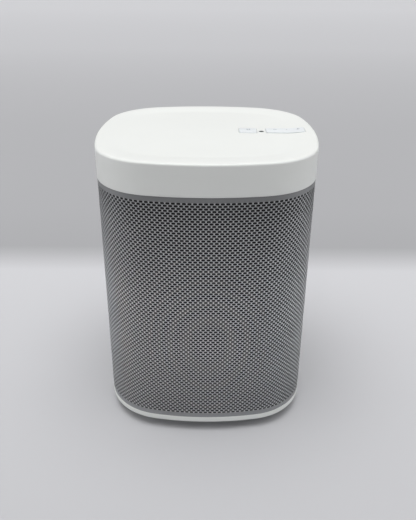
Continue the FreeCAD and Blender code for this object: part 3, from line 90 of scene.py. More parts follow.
def plan_points(along, inset):
    """Points of the outline moved inwards, at distances along it from the middle of the front, anticlockwise."""
    along = np.asarray(along, float)
    inset = np.broadcast_to(np.asarray(inset, float), along.shape)
    half_side = SIDE_RADIUS * HALF_SIDE_ANGLE
    quarter = np.floor((along + half_side) / QUARTER)
    rest = along + half_side - quarter * QUARTER
    facing = quarter * (math.pi / 2) - math.pi / 2
    on_side = rest <= 2 * half_side
    angle = np.where(on_side, facing - HALF_SIDE_ANGLE + rest / SIDE_RADIUS,
                     facing + HALF_SIDE_ANGLE + (rest - 2 * half_side) / CORNER_RADIUS)
    diagonal = facing + math.pi / 4
    centre_x = np.where(on_side, -SIDE_OFFSET * np.cos(facing), CORNER_CENTRE * math.sqrt(2) * np.cos(diagonal))
    centre_y = np.where(on_side, -SIDE_OFFSET * np.sin(facing), CORNER_CENTRE * math.sqrt(2) * np.sin(diagonal))
    radius = np.where(on_side, SIDE_RADIUS, CORNER_RADIUS) - inset
    return centre_x + radius * np.cos(angle), centre_y + radius * np.sin(angle)


# ------------------------------------------------------------------ mesh helpers

def new_object(name, mesh, material, body="housing", replaced=()):
    piece = bpy.data.objects.new(name, mesh)
    bpy.context.scene.collection.objects.link(piece)
    mesh.materials.append(material)
    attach(piece, body)
    if replaced:
        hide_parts(*replaced)
    return piece


def smooth(mesh, angle=35.0):
    mesh.polygons.foreach_set("use_smooth", np.ones(len(mesh.polygons), bool))
    mesh.set_sharp_from_angle(angle=math.radians(angle))
    mesh.update()


def swept_rings(name, rings, count=240, closed=False):
    """A skin through outline rings of (inset, height), ending in flat lids unless the rings close on themselves."""
    along = np.arange(count) * (PERIMETER / count)
    points = []
    for inset, height in rings:
        x, y = plan_points(along, inset)
        points += list(zip(x, y, np.full(count, height)))
    faces = []
    last = len(rings) if closed else len(rings) - 1
    for ring in range(last):
        low, high = ring * count, ((ring + 1) % len(rings)) * count
        for i in range(count):
            j = (i + 1) % count
            faces.append((low + i, low + j, high + j, high + i))
    if not closed:
        faces.append(tuple(reversed(range(count))))
        faces.append(tuple(range(last * count, (last + 1) * count)))
    mesh = bpy.data.meshes.new(name)
    mesh.from_pydata(points, [], faces)
    mesh.validate()
    return mesh


def boolean(piece, cutter, operation="DIFFERENCE"):
    """Apply one exact boolean and remove the cutter."""
    modifier = piece.modifiers.new("cut", "BOOLEAN")
    modifier.object = cutter
    modifier.operation = operation
    modifier.solver = "EXACT"
    graph = bpy.context.evaluated_depsgraph_get()
    mesh = bpy.data.meshes.new_from_object(piece.evaluated_get(graph))
    piece.modifiers.clear()
    piece.data = mesh
    bpy.data.objects.remove(cutter)


def plain_object(name, mesh):
    thing = bpy.data.objects.new(name, mesh)
    bpy.context.scene.collection.objects.link(thing)
    return thing


def rounded_column(name, low, high, bottom, top, corner, grow=0.0, segments=8):
    """A column with round upright edges between two plan corners, widened by grow."""
    left, front = low[0] - grow, low[1] - grow
    right, back = high[0] + grow, high[1] + grow
    radius = corner + grow
    ring = []
    for cx, cy, start in ((right - radius, back - radius, 0), (left + radius, back - radius, 90),
                          (left + radius, front + radius, 180), (right - radius, front + radius, 270)):
        for step in range(segments + 1):
            angle = math.radians(start + 90 * step / segments)
            ring.append((cx + radius * math.cos(angle), cy + radius * math.sin(angle)))
    count = len(ring)
    points = [(x, y, bottom) for x, y in ring] + [(x, y, top) for x, y in ring]
    faces = [(i, (i + 1) % count, count + (i + 1) % count, count + i) for i in range(count)]
    faces += [tuple(reversed(range(count))), tuple(range(count, 2 * count))]
    mesh = bpy.data.meshes.new(name)
    mesh.from_pydata(points, [], faces)
    return mesh


# ------------------------------------------------------------------ materials

def base_material(name, colour, roughness, metallic=0.0, **extra):
    material = bpy.data.materials.new(name)
    material.use_nodes = True
    shader = material.node_tree.nodes["Principled BSDF"]
    shader.inputs["Base Color"].default_value = (*colour, 1.0)
    shader.inputs["Roughness"].default_value = roughness
    shader.inputs["Metallic"].default_value = metallic
    for socket, number in extra.items():
        shader.inputs[socket.replace("_", " ")].default_value = number
    return material, material.node_tree.nodes, material.node_tree.links, shader


def object_noise(nodes, links, scale, detail=4.0, roughness=0.55, stretch=(1.0, 1.0, 1.0)):
    place = nodes.new("ShaderNodeTexCoord")
    mapping = nodes.new("ShaderNodeMapping")
    mapping.inputs["Scale"].default_value = stretch
    noise = nodes.new("ShaderNodeTexNoise")
    noise.inputs["Scale"].default_value = scale
    noise.inputs["Detail"].default_value = detail
    noise.inputs["Roughness"].default_value = roughness
    links.new(place.outputs["Object"], mapping.inputs["Vector"])
    links.new(mapping.outputs["Vector"], noise.inputs["Vector"])
    return noise


def add_bump(nodes, links, shader, noise, strength, distance):
    bump = nodes.new("ShaderNodeBump")
    bump.inputs["Strength"].default_value = strength
    bump.inputs["Distance"].default_value = distance
    links.new(noise.outputs["Fac"], bump.inputs["Height"])
    links.new(bump.outputs["Normal"], shader.inputs["Normal"])


def vary(nodes, links, noise, socket, low, high):
    """Let a noise move a number between two values."""
    spread = nodes.new("ShaderNodeMapRange")
    spread.inputs["From Min"].default_value = 0.3
    spread.inputs["From Max"].default_value = 0.7
    spread.inputs["To Min"].default_value = low
    spread.inputs["To Max"].default_value = high
    links.new(noise.outputs["Fac"], spread.inputs["Value"])
    links.new(spread.outputs["Result"], socket)


def vary_colour(nodes, links, noise, shader, first, second):
    ramp = nodes.new("ShaderNodeValToRGB")
    ramp.color_ramp.elements[0].position = 0.3
    ramp.color_ramp.elements[1].position = 0.7
    ramp.color_ramp.elements[0].color = (*first, 1.0)
    ramp.color_ramp.elements[1].color = (*second, 1.0)
    links.new(noise.outputs["Fac"], ramp.inputs["Fac"])
    links.new(ramp.outputs["Color"], shader.inputs["Base Color"])


def shade(colour, factor):
    return tuple(min(1.0, channel * factor) for channel in colour)


def moulded(name, colour, roughness, grain=2600.0, depth=0.02):
    """Injection-moulded plastic: a fine spark-eroded grain and slightly uneven gloss and colour."""
    material, nodes, links, shader = base_material(name, colour, roughness, Specular_IOR_Level=0.35)
    fine = object_noise(nodes, links, grain, detail=3.0)
    add_bump(nodes, links, shader, fine, 0.12, depth * MM)
    broad = object_noise(nodes, links, 38.0, detail=5.0)
    vary(nodes, links, broad, shader.inputs["Roughness"], roughness - 0.03, roughness + 0.04)
    cloudy = object_noise(nodes, links, 16.0, detail=6.0)
    vary_colour(nodes, links, cloudy, shader, shade(colour, 0.985), shade(colour, 1.01))
    return material


def fine_weave(nodes, links, shader, threads, strength, depth):
    """Two crossing sets of threads, so many to the metre."""
    place = nodes.new("ShaderNodeTexCoord")
    heights = []
    for direction in ("X", "Z"):
        wave = nodes.new("ShaderNodeTexWave")
        wave.bands_direction = direction
        wave.inputs["Scale"].default_value = threads
        wave.inputs["Distortion"].default_value = 0.6
        wave.inputs["Detail"].default_value = 2.0
        links.new(place.outputs["Object"], wave.inputs["Vector"])
        heights.append(wave.outputs["Fac"])
    cross = nodes.new("ShaderNodeMath")
    cross.operation = "MULTIPLY"
    for height, socket in zip(heights, cross.inputs):
        links.new(height, socket)
    bump = nodes.new("ShaderNodeBump")
    bump.inputs["Strength"].default_value = strength
    bump.inputs["Distance"].default_value = depth * MM
    links.new(cross.outputs["Value"], bump.inputs["Height"])
    links.new(bump.outputs["Normal"], shader.inputs["Normal"])


def cloth(name, colour, roughness, threads, depth=0.05):
    material, nodes, links, shader = base_material(name, colour, roughness, Sheen_Weight=0.3)
    fine_weave(nodes, links, shader, threads, 0.6, depth)
    vary_colour(nodes, links, object_noise(nodes, links, 220.0, detail=6.0), shader,
                shade(colour, 0.8), shade(colour, 1.15))
    return material


def metal(name, colour, roughness, stretch=(1.0, 1.0, 1.0), scale=1400.0, depth=0.004):
    """Bare or plated metal with fine tool marks and patches of duller surface."""
    material, nodes, links, shader = base_material(name, colour, roughness, 1.0)
    marks = object_noise(nodes, links, scale, detail=5.0, stretch=stretch)
    add_bump(nodes, links, shader, marks, 0.25, depth * MM)
    vary(nodes, links, object_noise(nodes, links, 90.0, detail=5.0), shader.inputs["Roughness"],
         roughness - 0.07, roughness + 0.10)
    vary_colour(nodes, links, object_noise(nodes, links, 130.0), shader, shade(colour, 0.92), shade(colour, 1.04))
    return material


def rubber(name, colour, roughness=0.78):
    material, nodes, links, shader = base_material(name, colour, roughness)
    add_bump(nodes, links, shader, object_noise(nodes, links, 1800.0, detail=4.0), 0.3, 0.03 * MM)
    vary(nodes, links, object_noise(nodes, links, 70.0), shader.inputs["Roughness"], roughness - 0.06, roughness + 0.1)
    vary_colour(nodes, links, object_noise(nodes, links, 150.0), shader, shade(colour, 0.8), shade(colour, 1.3))
    return material


def open_cell_foam(name, colour):
    material, nodes, links, shader = base_material(name, colour, 0.95)
    place = nodes.new("ShaderNodeTexCoord")
    cells = nodes.new("ShaderNodeTexVoronoi")
    cells.inputs["Scale"].default_value = 900.0
    links.new(place.outputs["Object"], cells.inputs["Vector"])
    bump = nodes.new("ShaderNodeBump")
    bump.inputs["Strength"].default_value = 0.9
    bump.inputs["Distance"].default_value = 0.5 * MM
    links.new(cells.outputs["Distance"], bump.inputs["Height"])
    links.new(bump.outputs["Normal"], shader.inputs["Normal"])
    vary_colour(nodes, links, object_noise(nodes, links, 500.0), shader, shade(colour, 0.6), shade(colour, 1.3))
    return material


def wound(name, colour, roughness, turns, metallic, direction="Y", second=None):
    """A surface of fine even ridges: wire turns on a coil, or the conductors of a ribbon; the grooves between the
    ridges are painted darker, as painted shade.
    """
    material, nodes, links, shader = base_material(name, colour, roughness, metallic)
    place = nodes.new("ShaderNodeTexCoord")
    wave = nodes.new("ShaderNodeTexWave")
    wave.bands_direction = direction
    wave.inputs["Scale"].default_value = turns
    links.new(place.outputs["Object"], wave.inputs["Vector"])
    bump = nodes.new("ShaderNodeBump")
    bump.inputs["Strength"].default_value = 0.7
    bump.inputs["Distance"].default_value = 0.08 * MM
    links.new(wave.outputs["Fac"], bump.inputs["Height"])
    links.new(bump.outputs["Normal"], shader.inputs["Normal"])
    # Painted shade: the grooves between ridges take the darker colour.
    vary_colour(nodes, links, wave, shader, second or shade(colour, 0.6), colour)
    return material


def circuit_board(name):
    """Green solder mask over faint tracks, with a thin gloss."""
    green, track = (0.012, 0.10, 0.045), (0.020, 0.16, 0.075)
    material, nodes, links, shader = base_material(name, green, 0.35, Coat_Weight=0.4, Coat_Roughness=0.15)
    place = nodes.new("ShaderNodeTexCoord")
    tracks = nodes.new("ShaderNodeTexBrick")
    for socket, number in (("Scale", 170.0), ("Mortar Size", 0.035), ("Mortar Smooth", 0.2), ("Brick Width", 0.9),
                           ("Row Height", 0.22)):
        tracks.inputs[socket].default_value = number
    tracks.inputs["Color1"].default_value = (*green, 1.0)
    tracks.inputs["Color2"].default_value = (*shade(green, 0.8), 1.0)
    tracks.inputs["Mortar"].default_value = (*track, 1.0)
    links.new(place.outputs["Object"], tracks.inputs["Vector"])
    links.new(tracks.outputs["Color"], shader.inputs["Base Color"])
    bump = nodes.new("ShaderNodeBump")
    bump.inputs["Strength"].default_value = 0.3
    bump.inputs["Distance"].default_value = 0.03 * MM
    links.new(tracks.outputs["Fac"], bump.inputs["Height"])
    links.new(bump.outputs["Normal"], shader.inputs["Normal"])
    return material


def cone_paper(name, colour):
    material, nodes, links, shader = base_material(name, colour, 0.8)
    fibres = object_noise(nodes, links, 700.0, detail=8.0, roughness=0.7, stretch=(1.0, 0.35, 1.6))
    add_bump(nodes, links, shader, fibres, 0.6, 0.08 * MM)
    vary_colour(nodes, links, fibres, shader, shade(colour, 0.6), shade(colour, 1.6))
    return material


def grille_paint(name):
    """Graphite-silver paint: fine metallic flake, a little uneven, with painted shade that darkens the sheet towards
    its upper and lower edges and a painted highlight that brightens the posts between the holes; both stand in for how
    light falls on the sheet.
    """
    colour = GRILLE_COLOUR
    material, nodes, links, shader = base_material(name, colour, 0.42, 0.6)
    flake = object_noise(nodes, links, 1500.0, detail=3.0)
    add_bump(nodes, links, shader, flake, 0.15, 0.01 * MM)
    vary(nodes, links, flake, shader.inputs["Roughness"], 0.37, 0.47)
    place = nodes.new("ShaderNodeTexCoord")
    split = nodes.new("ShaderNodeSeparateXYZ")
    links.new(place.outputs["Object"], split.inputs["Vector"])
    level = nodes.new("ShaderNodeMapRange")
    level.inputs["From Min"].default_value = 0.0
    level.inputs["From Max"].default_value = GRILLE_TOP
    links.new(split.outputs["Z"], level.inputs["Value"])
    ramp = nodes.new("ShaderNodeValToRGB")
    links.new(level.outputs["Result"], ramp.inputs["Fac"])
    # Painted light and shade along the height: darker near the lower and upper edges, brightest in the middle.
    painted_shade_stops = [(0.06, 0.82), (0.28, 1.0), (0.40, 1.07), (0.60, 1.07), (0.88, 0.82), (0.96, 0.66)]
    elements = ramp.color_ramp.elements
    while len(elements) < len(painted_shade_stops):
        elements.new(0.5)
    for element, (position, factor) in zip(elements, painted_shade_stops):
        element.position = position
        element.color = (*shade(colour, factor), 1.0)
    cloudy = nodes.new("ShaderNodeMixRGB")
    cloudy.blend_type = "MULTIPLY"
    patches = object_noise(nodes, links, 60.0)
    tint = nodes.new("ShaderNodeValToRGB")
    tint.color_ramp.elements[0].position = 0.3
    tint.color_ramp.elements[1].position = 0.7
    tint.color_ramp.elements[0].color = (0.93, 0.93, 0.935, 1.0)
    tint.color_ramp.elements[1].color = (1.0, 1.0, 1.0, 1.0)
    links.new(patches.outputs["Fac"], tint.inputs["Fac"])
    cloudy.inputs["Fac"].default_value = 1.0
    links.new(ramp.outputs["Color"], cloudy.inputs["Color1"])
    links.new(tint.outputs["Color"], cloudy.inputs["Color2"])
    # Painted highlight: the posts between holes are painted brighter than the strips between rows, which are painted
    # darker.
    bridge_highlight = nodes.new("ShaderNodeAttribute")
    bridge_highlight.attribute_name = "bridge_highlight"
    painted_light_level = nodes.new("ShaderNodeMapRange")
    painted_light_level.inputs["To Min"].default_value = WEB_PAINTED_SHADE
    painted_light_level.inputs["To Max"].default_value = BRIDGE_PAINTED_HIGHLIGHT
    links.new(bridge_highlight.outputs["Fac"], painted_light_level.inputs["Value"])
    painted_light_colour = nodes.new("ShaderNodeVectorMath")
    painted_light_colour.operation = "SCALE"
    links.new(cloudy.outputs["Color"], painted_light_colour.inputs[0])
    links.new(painted_light_level.outputs["Result"], painted_light_colour.inputs["Scale"])
    links.new(painted_light_colour.outputs["Vector"], shader.inputs["Base Color"])
    return material


def clear_plastic(name):
    """Smoked light pipe: dark when its lamp is off."""
    material, nodes, links, shader = base_material(name, (0.02, 0.024, 0.03), 0.4, Specular_IOR_Level=0.25)
    vary(nodes, links, object_noise(nodes, links, 900.0), shader.inputs["Roughness"], 0.35, 0.5)
    return material


WHITE = (0.82, 0.835, 0.815)
KEY_WHITE = (0.765, 0.795, 0.815)
PRINT = (0.20, 0.22, 0.27)
GRILLE_COLOUR = (0.85, 0.865, 0.88)
GRILLE_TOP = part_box("grille")[1].z
# Painted tones of the strips between rows (shade) and of the posts between holes (highlight).
WEB_PAINTED_SHADE = 0.46
BRIDGE_PAINTED_HIGHLIGHT = 1.08


THREAD_WAVES = 0.314 / (1.27 * MM)


def make_materials():
    return {
        "white_plastic": moulded("white_plastic", WHITE, 0.38),
        "white_keys": moulded("white_keys", KEY_WHITE, 0.42),
        "key_print": moulded("key_print", PRINT, 0.5),
        "grille_metal": grille_paint("grille_metal"),
        # Near-black back of the grille sheet: painted shade where the back of the sheet is in shadow.
        "grille_inside": moulded("grille_inside", (0.010, 0.010, 0.011), 0.8),
        "black_plastic": moulded("black_plastic", (0.012, 0.012, 0.013), 0.6),
        "black_rubber": rubber("black_rubber", (0.018, 0.018, 0.018)),
        "cable_black": rubber("cable_black", (0.022, 0.022, 0.022), 0.6),
        "foam": open_cell_foam("foam", (0.035, 0.035, 0.038)),
        "steel": metal("steel", (0.55, 0.55, 0.56), 0.34),
        "blackened_steel": rubber("blackened_steel", (0.020, 0.020, 0.022), 0.55),
        "plated_steel": metal("plated_steel", (0.62, 0.60, 0.55), 0.26, stretch=(1.0, 6.0, 1.0)),
        "dome_steel": metal("dome_steel", (0.66, 0.65, 0.60), 0.18),
        "brass": wound("brass", (0.60, 0.42, 0.18), 0.34, THREAD_WAVES, 1.0, "Y", (0.42, 0.29, 0.12)),
        "brass_contacts": metal("brass_contacts", (0.80, 0.60, 0.25), 0.25),
        "magnet": metal("magnet", (0.60, 0.61, 0.63), 0.20),
        "aluminium": metal("aluminium", (0.74, 0.75, 0.76), 0.33, stretch=(1.0, 1.0, 7.0)),
        "ferrite": rubber("ferrite", (0.030, 0.030, 0.034), 0.7),
        "cone_paper": cone_paper("cone_paper", (0.018, 0.018, 0.020)),
        "coil_copper": wound("coil_copper", (0.62, 0.25, 0.10), 0.32, 900.0, 1.0),
        "silk": cloth("silk", (0.020, 0.020, 0.022), 0.7, 1300.0, 0.02),
        "liner_cloth": cloth("liner_cloth", (0.008, 0.008, 0.009), 0.9, 1500.0, 0.02),
        "spider_cloth": cloth("spider_cloth", (0.42, 0.27, 0.09), 0.75, 700.0),
        "woven_gasket": cloth("woven_gasket", (0.025, 0.025, 0.027), 0.85, 900.0),
        "circuit_board": circuit_board("circuit_board"),
        "capacitor_sleeve": moulded("capacitor_sleeve", (0.016, 0.020, 0.045), 0.25),
        "clear_pipe": clear_plastic("clear_pipe"),
        "led_body": moulded("led_body", (0.78, 0.74, 0.60), 0.3),
        "ribbon": wound("ribbon", (0.72, 0.72, 0.70), 0.45, 500.0, 0.0, "X", (0.45, 0.46, 0.48)),
        "nylon": moulded("nylon", (0.76, 0.74, 0.66), 0.45),
    }


MATERIALS = make_materials()

# ------------------------------------------------------------------ the perforated grille

GRILLE_LOW, GRILLE_HIGH = node_box("grille")
OUTER_INSET = HALF_WIDTH - GRILLE_HIGH.x
SHEET = 0.4 * MM
LINER_FRONT = 0.65 * MM
LINER_BACK = 0.9 * MM
HOLE_PITCH = 2.667 * MM
ROW_PITCH = 1.306 * MM
ROWS = 99
FIRST_ROW = 13.49 * MM
# Share of the posts' painted highlight given to the hole tips.
TIP_HIGHLIGHT_SHARE = 0.95
HOLE_HALF_WIDTH = 1.06 * MM
HOLE_HALF_HEIGHT = 0.52 * MM
HOLE_FLARE = 0.11 * MM
SPINE_HALF = 19.3 * MM
PANELS = 4


def grille_cells():
    """Flat mesh of the unrolled sheet: points of (along, height), triangles and the column of each."""
    half = PERIMETER / 2 - SPINE_HALF
    columns = int((half - 0.5 * MM) / HOLE_PITCH - 0.5)
    edge = 2 * columns + 1
    lattice_columns = 2 * edge + 1
    along = (np.arange(lattice_columns) - edge) * HOLE_PITCH / 2
    heights = FIRST_ROW + (np.arange(2 * ROWS + 1) / 2 - 0.5) * ROW_PITCH
    grid = np.stack(np.meshgrid(along, heights), -1).reshape(-1, 2)
    points, flares, triangles, owners = [grid], [np.zeros_like(grid)], [], []
    total = len(grid)
    narrow, tips = set(), set()

    def node(i, j):
        return (j * lattice_columns) + i + edge

    tip, shoulder = HOLE_HALF_WIDTH, 0.52 * HOLE_HALF_WIDTH
    rim = np.array([(tip, -0.42 * HOLE_HALF_HEIGHT), (tip, 0.42 * HOLE_HALF_HEIGHT),
                    (shoulder, HOLE_HALF_HEIGHT), (-shoulder, HOLE_HALF_HEIGHT),
                    (-tip, 0.42 * HOLE_HALF_HEIGHT), (-tip, -0.42 * HOLE_HALF_HEIGHT),
                    (-shoulder, -HOLE_HALF_HEIGHT), (shoulder, -HOLE_HALF_HEIGHT)])
    flare = HOLE_FLARE * np.sign(rim)
    for row in range(ROWS):
        j = 2 * row
        odd = row % 2
        centres = np.arange(-2 * columns + odd, 2 * columns + 1 - odd, 2)
        height = FIRST_ROW + row * ROW_PITCH
        for i in centres:
            hole = total + np.arange(8)
            points.append(rim + (i * HOLE_PITCH / 2, height))
            flares.append(flare)
            total += 8
            narrow |= {node(i - 1, j + 1), node(i + 1, j + 1)}
            tips |= {hole[0], hole[1], hole[4], hole[5]}
            frame_nodes = [node(i + 1, j + 1), node(i + 1, j + 2), node(i, j + 2), node(i - 1, j + 2),
                           node(i - 1, j + 1), node(i - 1, j), node(i, j), node(i + 1, j)]
            for k in range(8):
                after = (k + 1) % 8
                triangles.append((frame_nodes[k], hole[after], hole[k]))
                triangles.append((frame_nodes[k], frame_nodes[after], hole[after]))
                owners += [i, i]
        if odd:
            for side in (-1, 1):
                inner, outer = side * (edge - 1), side * edge
                loop = [node(inner, j), node(outer, j), node(outer, j + 1), node(outer, j + 2), node(inner, j + 2), node(inner, j + 1)]
                loop = loop if side > 0 else loop[::-1]
                triangles += [(loop[0], loop[k], loop[k + 1]) for k in range(1, 5)]
                owners += [inner] * 4
    # plain margins above, below and beside the holes
    lowest, highest = GRILLE_LOW.z, GRILLE_HIGH.z
    margin = {}

    def extra(key, where):
        nonlocal total
        if key not in margin:
            points.append(np.array([where]))
            flares.append(np.zeros((1, 2)))
            margin[key] = total
            total += 1
        return margin[key]

    for i in range(-edge, edge):
        for name, j, level in (("low", 0, lowest), ("high", 2 * ROWS, highest)):
            a, b = node(i, j), node(i + 1, j)
            c = extra((name, i + 1), ((i + 1) * HOLE_PITCH / 2, level))
            d = extra((name, i), (i * HOLE_PITCH / 2, level))
            quad = (a, b, c, d) if name == "high" else (d, c, b, a)
            triangles += [(quad[0], quad[1], quad[2]), (quad[0], quad[2], quad[3])]
            owners += [i, i]
    for side in (-1, 1):
        levels = [("low", lowest)] + [(j, heights[j]) for j in range(2 * ROWS + 1)] + [("high", highest)]
        for (first, low), (second, high) in zip(levels, levels[1:]):
            a = margin[(first, side * edge)] if first == "low" else node(side * edge, first)
            b = margin[(second, side * edge)] if second == "high" else node(side * edge, second)
            c = extra(("end", side, second), (side * half, high))
            d = extra(("end", side, first), (side * half, low))
            quad = (a, d, c, b) if side > 0 else (b, c, d, a)
            triangles += [(quad[0], quad[1], quad[2]), (quad[0], quad[2], quad[3])]
            owners += [side * edge, side * edge]
    # Painted highlight share of each point: full on the posts between holes, a little less at hole tips, none near the
    # ends of the sheet.
    bridge_highlights = np.zeros(total)
    bridge_highlights[list(narrow)] = 1.0
    bridge_highlights[list(tips)] = TIP_HIGHLIGHT_SHARE
    bridge_highlights[np.abs(np.concatenate(points)[:, 0]) > (edge - 2.2) * HOLE_PITCH / 2] = 0.0
    return np.concatenate(points), np.concatenate(flares), bridge_highlights, np.array(triangles), np.array(owners), edge


CURL_HEIGHT = 1.3 * MM
CURL_DEPTH = 0.35 * MM


def edge_curl(height):
    """How far the sheet's upper edge is tucked in under the cap."""
    share = np.clip((height - (GRILLE_HIGH.z - CURL_HEIGHT)) / CURL_HEIGHT, 0.0, 1.0)
    return CURL_DEPTH * share * share


def thick_panel(name, flat, flares, bridge_highlights, triangles):
    """A closed sheet of metal from the flat triangles, wrapped round the outline; its holes widen inwards."""
    used, triangles = np.unique(triangles, return_inverse=True)
    triangles = triangles.reshape(-1, 3)
    count = len(used)
    along, height = flat[used].T
    curl = edge_curl(height)
    outer = np.stack([*plan_points(along, OUTER_INSET + curl), height], -1)
    behind, level = (flat[used] + flares[used]).T
    inner = np.stack([*plan_points(behind, OUTER_INSET + SHEET + curl), level], -1)
    edges = np.concatenate([triangles[:, [0, 1]], triangles[:, [1, 2]], triangles[:, [2, 0]]])
    forward = edges[:, 0].astype(np.int64) * count + edges[:, 1]
    backward = edges[:, 1].astype(np.int64) * count + edges[:, 0]
    rims = edges[~np.isin(forward, backward)]
    walls = np.stack([rims[:, 1], rims[:, 0], rims[:, 0] + count, rims[:, 1] + count], -1)
    corners = np.concatenate([triangles.ravel(), (triangles[:, ::-1] + count).ravel(), walls.ravel()])
    sizes = np.concatenate([np.full(2 * len(triangles), 3), np.full(len(walls), 4)])
    mesh = bpy.data.meshes.new(name)
    mesh.vertices.add(2 * count)
    mesh.vertices.foreach_set("co", np.concatenate([outer, inner]).astype(np.float32).ravel())
    mesh.loops.add(len(corners))
    mesh.loops.foreach_set("vertex_index", corners.astype(np.int32))
    mesh.polygons.add(len(sizes))
    mesh.polygons.foreach_set("loop_start", np.concatenate([[0], np.cumsum(sizes)[:-1]]).astype(np.int32))
    mesh.update(calc_edges=True)
    # The inner faces take the second, near-black material: painted shade on the back of the sheet.
    number = np.arange(len(sizes))
    inside = (number >= len(triangles)) & (number < 2 * len(triangles))
    mesh.polygons.foreach_set("material_index", inside.astype(np.int32))
    # Each point's painted-highlight share, for the grille's paint.
    share = mesh.attributes.new("bridge_highlight", "FLOAT", "POINT")
    share.data.foreach_set("value", np.tile(bridge_highlights[used], 2).astype(np.float32))
    smooth(mesh)
    return mesh


def make_grille():
    flat, flares, bridge_highlights, triangles, owners, edge = grille_cells()
    share = np.clip(((owners + edge) * PANELS) // (2 * edge + 1), 0, PANELS - 1)
    for number in range(PANELS):
        name = f"grille_sheet_{number + 1}"
        mesh = thick_panel(name, flat, flares, bridge_highlights, triangles[share == number])
        new_object(name, mesh, MATERIALS["grille_metal"], replaced=("grille",))
        mesh.materials.append(MATERIALS["grille_inside"])
    make_liner()


def make_liner():
    """Black cloth behind the perforated sheet; it hides what is inside and keeps dust out."""
    half = PERIMETER / 2 - SPINE_HALF
    count = 320
    along = np.linspace(-half, half, count)
    low, high = GRILLE_LOW.z + 0.3 * MM, GRILLE_HIGH.z - 0.3 * MM
    points = []
    for inset, height in ((LINER_FRONT, low), (LINER_FRONT, high), (LINER_BACK, high), (LINER_BACK, low)):
        x, y = plan_points(along, OUTER_INSET + inset + edge_curl(height))
        points += list(zip(x, y, np.full(count, height)))
    faces = []
    for ring in range(4):
        low_start, high_start = ring * count, (ring + 1) % 4 * count
        faces += [(low_start + i, low_start + i + 1, high_start + i + 1, high_start + i) for i in range(count - 1)]
    faces += [(0, count, 2 * count, 3 * count), tuple(count * k + count - 1 for k in (3, 2, 1, 0))]
    mesh = bpy.data.meshes.new("grille_liner")
    mesh.from_pydata(points, [], faces)
    smooth(mesh)
    new_object("grille_liner", mesh, MATERIALS["liner_cloth"], replaced=("grille",))


make_grille()

# ------------------------------------------------------------------ cap and keys

CAP_LOW, CAP_HIGH = node_box("top_cap")
BAND_LOW = GRILLE_HIGH.z
EDGE_RADIUS = 1.3 * MM
LOWER_EDGE = 0.55 * MM
RIM_INSET = 2.6 * MM
DISH_INSET = 15.0 * MM
DISH_DEPTH = 0.85 * MM
CAP_WALL = 2.4 * MM
CAP_ROOF = 3.4 * MM
KEY_GAP = 0.3 * MM
KEY_PROUD = 0.2 * MM
KEY_FRONT_GAP = 0.3 * MM
KEY_SIDE_FILL = 0.1 * MM
KEY_SOFTNESS = 0.3 * MM
LENS_RADIUS = 1.35 * MM
LENS_RECESS = 0.12 * MM
KEY_CORNER = 1.0 * MM


def cap_rings(top, bottom):
    """Rings of the cap's outer skin, from its lower edge over the rounded rim and down into the dish."""
    rings = [(LOWER_EDGE * (1 - math.sin(angle)), bottom + LOWER_EDGE * (1 - math.cos(angle)))
             for angle in (math.radians(90 * step / 5) for step in range(6))]
    rings += [(0.0, bottom + 2 * MM), (0.0, top - EDGE_RADIUS - 1 * MM)]
    for step in range(9):
        angle = math.radians(90 * step / 8)
        rings.append((EDGE_RADIUS * (1 - math.cos(angle)), top - EDGE_RADIUS * (1 - math.sin(angle))))
    steps = 14
    for step in range(1, steps + 1):
        share = step / steps
        drop = share * share * (3 - 2 * share)
        rings.append((RIM_INSET + share * (DISH_INSET - RIM_INSET), top - DISH_DEPTH * drop))
    return rings


def make_cap():
    top = CAP_HIGH.z
    outer = cap_rings(top, BAND_LOW)
    inner = [(CAP_WALL, BAND_LOW - 1 * MM), (CAP_WALL, top - CAP_ROOF)]
    shell = plain_object("top_cap_shell", swept_rings("top_cap_shell", outer))
    boolean(shell, plain_object("cap_hollow", swept_rings("cap_hollow", inner)))
    for node in ("play_pause_key", "volume_rocker"):
        low, high = key_plan(node)
        column = rounded_column("opening", low, high, BAND_LOW, top + 5 * MM, KEY_CORNER, KEY_GAP)
        boolean(shell, plain_object("opening", column))
    light_low, light_high = node_box("status_light_pipe")
    centre = (light_low + light_high) / 2
    radius = LENS_RADIUS + 0.1 * MM
    hole = rounded_column("lamp_hole", (centre.x - radius, centre.y - radius), (centre.x + radius, centre.y + radius),
                          BAND_LOW, top + 5 * MM, radius * 0.999)
    boolean(shell, plain_object("lamp_hole", hole))
    mesh = shell.data
    bpy.data.objects.remove(shell)
    bevelled(mesh)
    new_object("top_cap_shell", mesh, MATERIALS["white_plastic"], replaced=("top_cap",))


def bevelled(mesh):
    smooth(mesh, 32.0)


LIP = 0.8 * MM


def key_plan(node):
    """Plan corners of a key's top: its node's box less the hidden lip at the sides, and the play key's box less the
    lip at front and back.
    """
    low, high = node_box(node)
    front, back = node_box("play_pause_key")[0].y + LIP, node_box("play_pause_key")[1].y - LIP
    return (low.x + LIP, front), (high.x - LIP, back)


def soften(mesh, above, offset):
    """Round the sharp edges that lie above a height."""
    bm = bmesh.new()
    bm.from_mesh(mesh)
    rim = [edge for edge in bm.edges if len(edge.link_faces) == 2 and edge.calc_face_angle() > 1.0
           and min(vertex.co.z for vertex in edge.verts) > above]
    bmesh.ops.bevel(bm, geom=rim, offset=offset, segments=3, profile=0.5, affect="EDGES", clamp_overlap=True)
    bm.to_mesh(mesh)
    bm.free()
    smooth(mesh, 40.0)


def cut_from_cap(name, lift, column):
    """The part of the cap's surface, raised by lift, that lies inside a column."""
    blank = plain_object(name, swept_rings(name, cap_rings(CAP_HIGH.z + lift, BAND_LOW)))
    boolean(blank, plain_object("column", column), "INTERSECT")
    mesh = blank.data
    bpy.data.objects.remove(blank)
    return mesh


